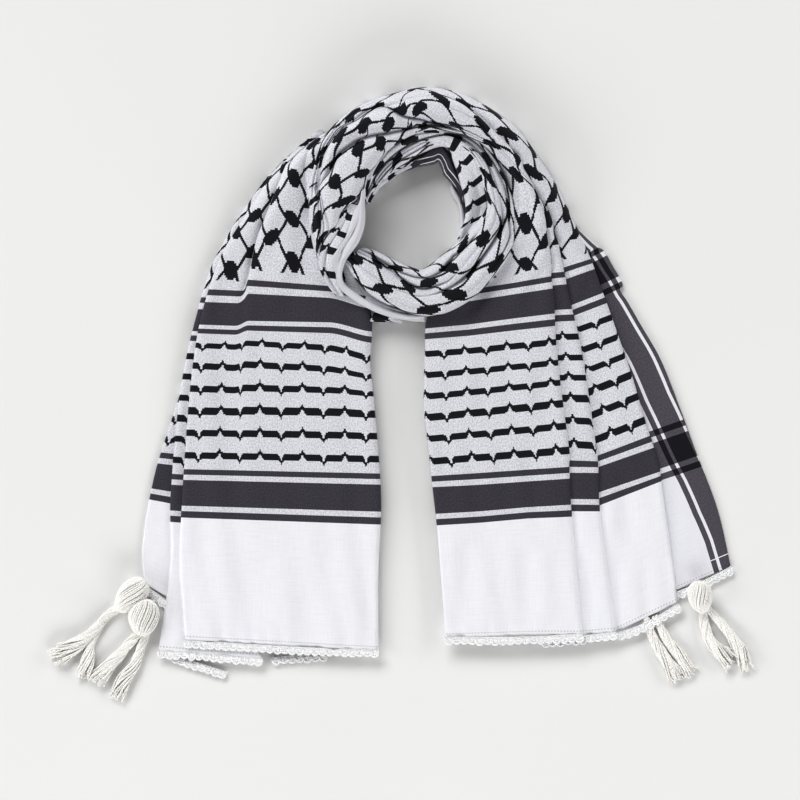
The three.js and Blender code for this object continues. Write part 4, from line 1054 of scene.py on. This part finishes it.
def tassel_strand(name, rows, nodes, seed, threads=46, turns=1.5):
    """Yarn i runs at centre + radius_i x half width x (cos of its angle, turned along the way).
    rows: (x, y, width) from the ball to the cut end. It lies on the table: height starts at the
    yarn's own radius, and is 0.6 of the width, less towards the flattened end."""
    rng = np.random.default_rng(seed)
    rows = np.asarray(rows, float)
    way = np.r_[0, np.cumsum(np.hypot(*np.diff(rows[:, :2], axis=0).T))]
    table = np.c_[way, rows]
    t = np.linspace(0, 1, YARN_STEPS) * rng.uniform(0.84, 1.0, (threads, 1))
    s = t * way[-1]
    at = through(table, s.ravel()).reshape(threads, YARN_STEPS, 3)
    ahead = through(table, np.minimum(s + 0.6, way[-1]).ravel()).reshape(threads, YARN_STEPS, 3)
    back = through(table, np.maximum(s - 0.6, 0).ravel()).reshape(threads, YARN_STEPS, 3)
    run = (ahead - back)[..., :2]
    run /= np.linalg.norm(run, axis=2, keepdims=True)
    side = np.dstack([-run[..., 1], run[..., 0]])
    own = np.sqrt(rng.uniform(0.02, 1, (threads, 1)))
    angle = rng.uniform(0, 2 * np.pi, (threads, 1)) + 2 * np.pi * turns * (t - 0.45 * t**2)
    half = at[..., 2] / 2 - YARN_RADIUS
    loose = rng.uniform(-1, 1, (threads, 1)) * 0.3 * half * t**3
    loose = loose + 0.45 * t * np.sin(s / rng.uniform(2.2, 4.5, (threads, 1)) + angle[:, :1])
    aside = own * np.cos(angle) * half + loose
    tall = (0.31 * at[..., 2] - YARN_RADIUS) * (1 - 0.45 * t**2)
    high = YARN_RADIUS + np.maximum(tall, 0.2) * (1 + own * np.sin(angle))
    paths = np.dstack([at[..., :2] + side * aside[..., None], high])
    points, faces, uv = yarn_tubes(paths, YARN_RADIUS * (1 - 0.25 * t**4))
    return piece_from(name, points, faces, uv, tassel_cotton, nodes)


STRANDS = {          # the two strands a and b of each corner
    "left_back": (((-208, -157, 8), (-222, -167, 7), (-230, -176, 8), (-243, -187, 12), (-264, -198, 20)),
                  ((-226, -172, 5), (-233.5, -188.5, 6), (-235, -196, 10), (-239, -214, 15))),
    "left_front": (((-195, -176, 7), (-211, -194, 9), (-222, -206, 12), (-231, -218, 16)),
                   ((-191, -177, 6), (-201, -203, 9), (-209.5, -215, 12), (-216, -229, 13))),
    "right_border": (((224, -158, 7), (229, -182, 9), (237, -192, 13), (249, -202, 17)),
                     ((227.5, -159, 6), (243, -177, 8), (253, -192, 12), (259, -208, 14))),
    "right_side": (((181.5, -168, 7), (190, -187, 8), (199, -201, 11), (208, -216, 14)),
                   ((189, -166, 6), (199, -185, 8), (209, -198, 10), (219, -211, 12))),
}
strands = {}
for corner, both in STRANDS.items():
    for letter, rows in zip("ab", both):
        node = corner + "_tassel_strand_" + letter
        strands[node] = tassel_strand(node + "_yarns", rows, (node,), seed=60 + len(strands))
print(len(strands), "strands")


# %% Wound balls
def wound_ball(name, node, size, turn, seed, threads=38):
    """Ball point = centre + (length x cos a, width x swell x sin a cos b, height x swell x sin a
    sin b) / 2, with swell = 1 + 0.12 cos a, so it is a little pear-shaped. Yarns are wound from end
    to end over it, each at its own b. Its centre is the middle of the node's box."""
    rng = np.random.default_rng(seed)
    low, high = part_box(node)
    centre = (np.array(low) + np.array(high)) / 2 / MM
    centre[:2] -= ANCHOR
    length, width, height = np.array(size) - 1.6
    c, s = math.cos(math.radians(turn)), math.sin(math.radians(turn))

    def surface(a, b, out=0.0):
        """Point of the ball at end-to-end angle a and round angle b, out mm off the surface."""
        swell = 1 + 0.12 * np.cos(a)
        x = (length / 2 + out) * np.cos(a)
        y = (width / 2 + out) * swell * np.sin(a) * np.cos(b)
        z = (height / 2 + out) * swell * np.sin(a) * np.sin(b)
        return np.stack(np.broadcast_arrays(x * c - y * s + centre[0], x * s + y * c + centre[1],
                                            z + centre[2]), -1)

    a, b = np.meshgrid(np.linspace(0.02, np.pi - 0.02, 15), np.linspace(0, 2 * np.pi, 25)[:-1],
                       indexing="ij")
    k = np.arange(a.size).reshape(a.shape)
    turned = np.roll(k, -1, 1)
    quads = np.stack([k[:-1], k[1:], turned[1:], turned[:-1]], -1).reshape(-1, 4)
    core = (surface(a, b, -0.3).reshape(-1, 3),
            quads.tolist() + [k[0].tolist(), k[-1, ::-1].tolist()], np.c_[a.ravel(), b.ravel()])
    a = np.linspace(0.12, np.pi - 0.12, 15)[None]
    b = (2 * np.pi * np.arange(threads) / threads)[:, None] + 0.5 * np.cos(a)
    b = b + rng.uniform(-0.05, 0.05, (threads, 1))
    wound = yarn_tubes(surface(a, b, 0.2 + rng.uniform(0, 0.5, (threads, 1))), 0.72)
    points, faces, uv = joined((core, wound))
    points[:, 2] = np.maximum(points[:, 2], 0.1)
    return piece_from(name, points, faces, uv, tassel_cotton, (node,))


BALLS = {"left_back": ((31, 20, 15), 48), "left_front": ((28, 23, 16), 88),      # size, turn
         "right_border": ((24, 18, 13), 100)}
balls = {}
for number, (corner, (size, turn)) in enumerate(BALLS.items()):
    node = corner + "_tassel_ball"
    balls[node] = wound_ball(node + "_winding", node, size, turn, seed=80 + number)
print(len(balls), "balls")

# %% [markdown]
# ## The cut of the cloth
# Every stretch is a part of the same square. The cloth map says where each point lies on that square
# in millimetres, so the size of a stretch while it lay flat is read from its own map. Across the
# cloth, the map follows the modelled section, so the width is the model's own. Along it, seven
# stretches follow the pattern's repeats, and the other seven only the labels in their tables. Those
# are all longer than the stretch lies, most by a few per cent, the back fold by a third. In two white
# folds the map holds much less cloth than they have, so their labels are listed.

# %% Measure a cut
def cut_of(piece, label=None):
    """Width and length = largest minus smallest u and v. Area = half the sum of |edge x edge| over
    the map's triangles. Where a label is given it is the length, and the area grows to match."""
    mesh = piece.data
    spot = np.empty(2 * len(mesh.loops))
    mesh.uv_layers["cloth"].data.foreach_get("uv", spot)
    spot = spot.reshape(-1, 2) * MM
    mesh.calc_loop_triangles()
    corner = np.empty(3 * len(mesh.loop_triangles), dtype=int)
    mesh.loop_triangles.foreach_get("loops", corner)
    first, second, third = spot[corner.reshape(-1, 3)].transpose(1, 0, 2)
    one, other = second - first, third - first
    area = np.abs(one[:, 0] * other[:, 1] - one[:, 1] * other[:, 0]).sum() / 2
    width, length = np.ptp(spot, axis=0)
    if label:
        area, length = area * label / length, label
    return (round(float(width), 3), round(float(length), 3)), round(float(area), 5)


# %% Flat sizes
LABELS = {twist: 0.145, band_under: 0.070}      # from the first label to the last, metres
SHEETS = (
    (back_fold, (table,), ("left_back",), ("left_back",)),
    (second_fold, (back_fold,), ("left_second", "left_corner"), ("left_front",)),
    (left_panel, (second_fold,), ("left_front", "left_inner"), ()),
    (border_layer, (table,), ("right_border",), ("right_border",)),
    (right_wrap, (border_layer,), ("right_front", "right_middle", "right_side"), ("right_side",)),
    (inner_ring, (left_panel, right_wrap), (), ()),
    (inner_edge, (inner_ring,), (), ()),
    (selvage_edge, (inner_edge,), (), ()),
    (inner_pale, (selvage_edge,), (), ()),
    (back_pale, (inner_ring,), (), ()),
    (twist, (right_wrap, inner_ring), (), ()),
    (under_twist, (right_wrap,), (), ()),
    (band_under, (left_panel,), (), ()),
    (net_scrap, (left_panel,), (), ()),
)
for piece, below, hems, corners in SHEETS:
    yarn = [edging[hem] for hem in hems]
    for corner in corners:
        yarn += [obj for node, obj in {**strands, **balls}.items()
                 if node.startswith(corner + "_tassel")]
    size, area = cut_of(piece, LABELS.get(piece))
    print(piece.name, "flat", size, "area", area, "with", len(yarn), "yarn pieces")
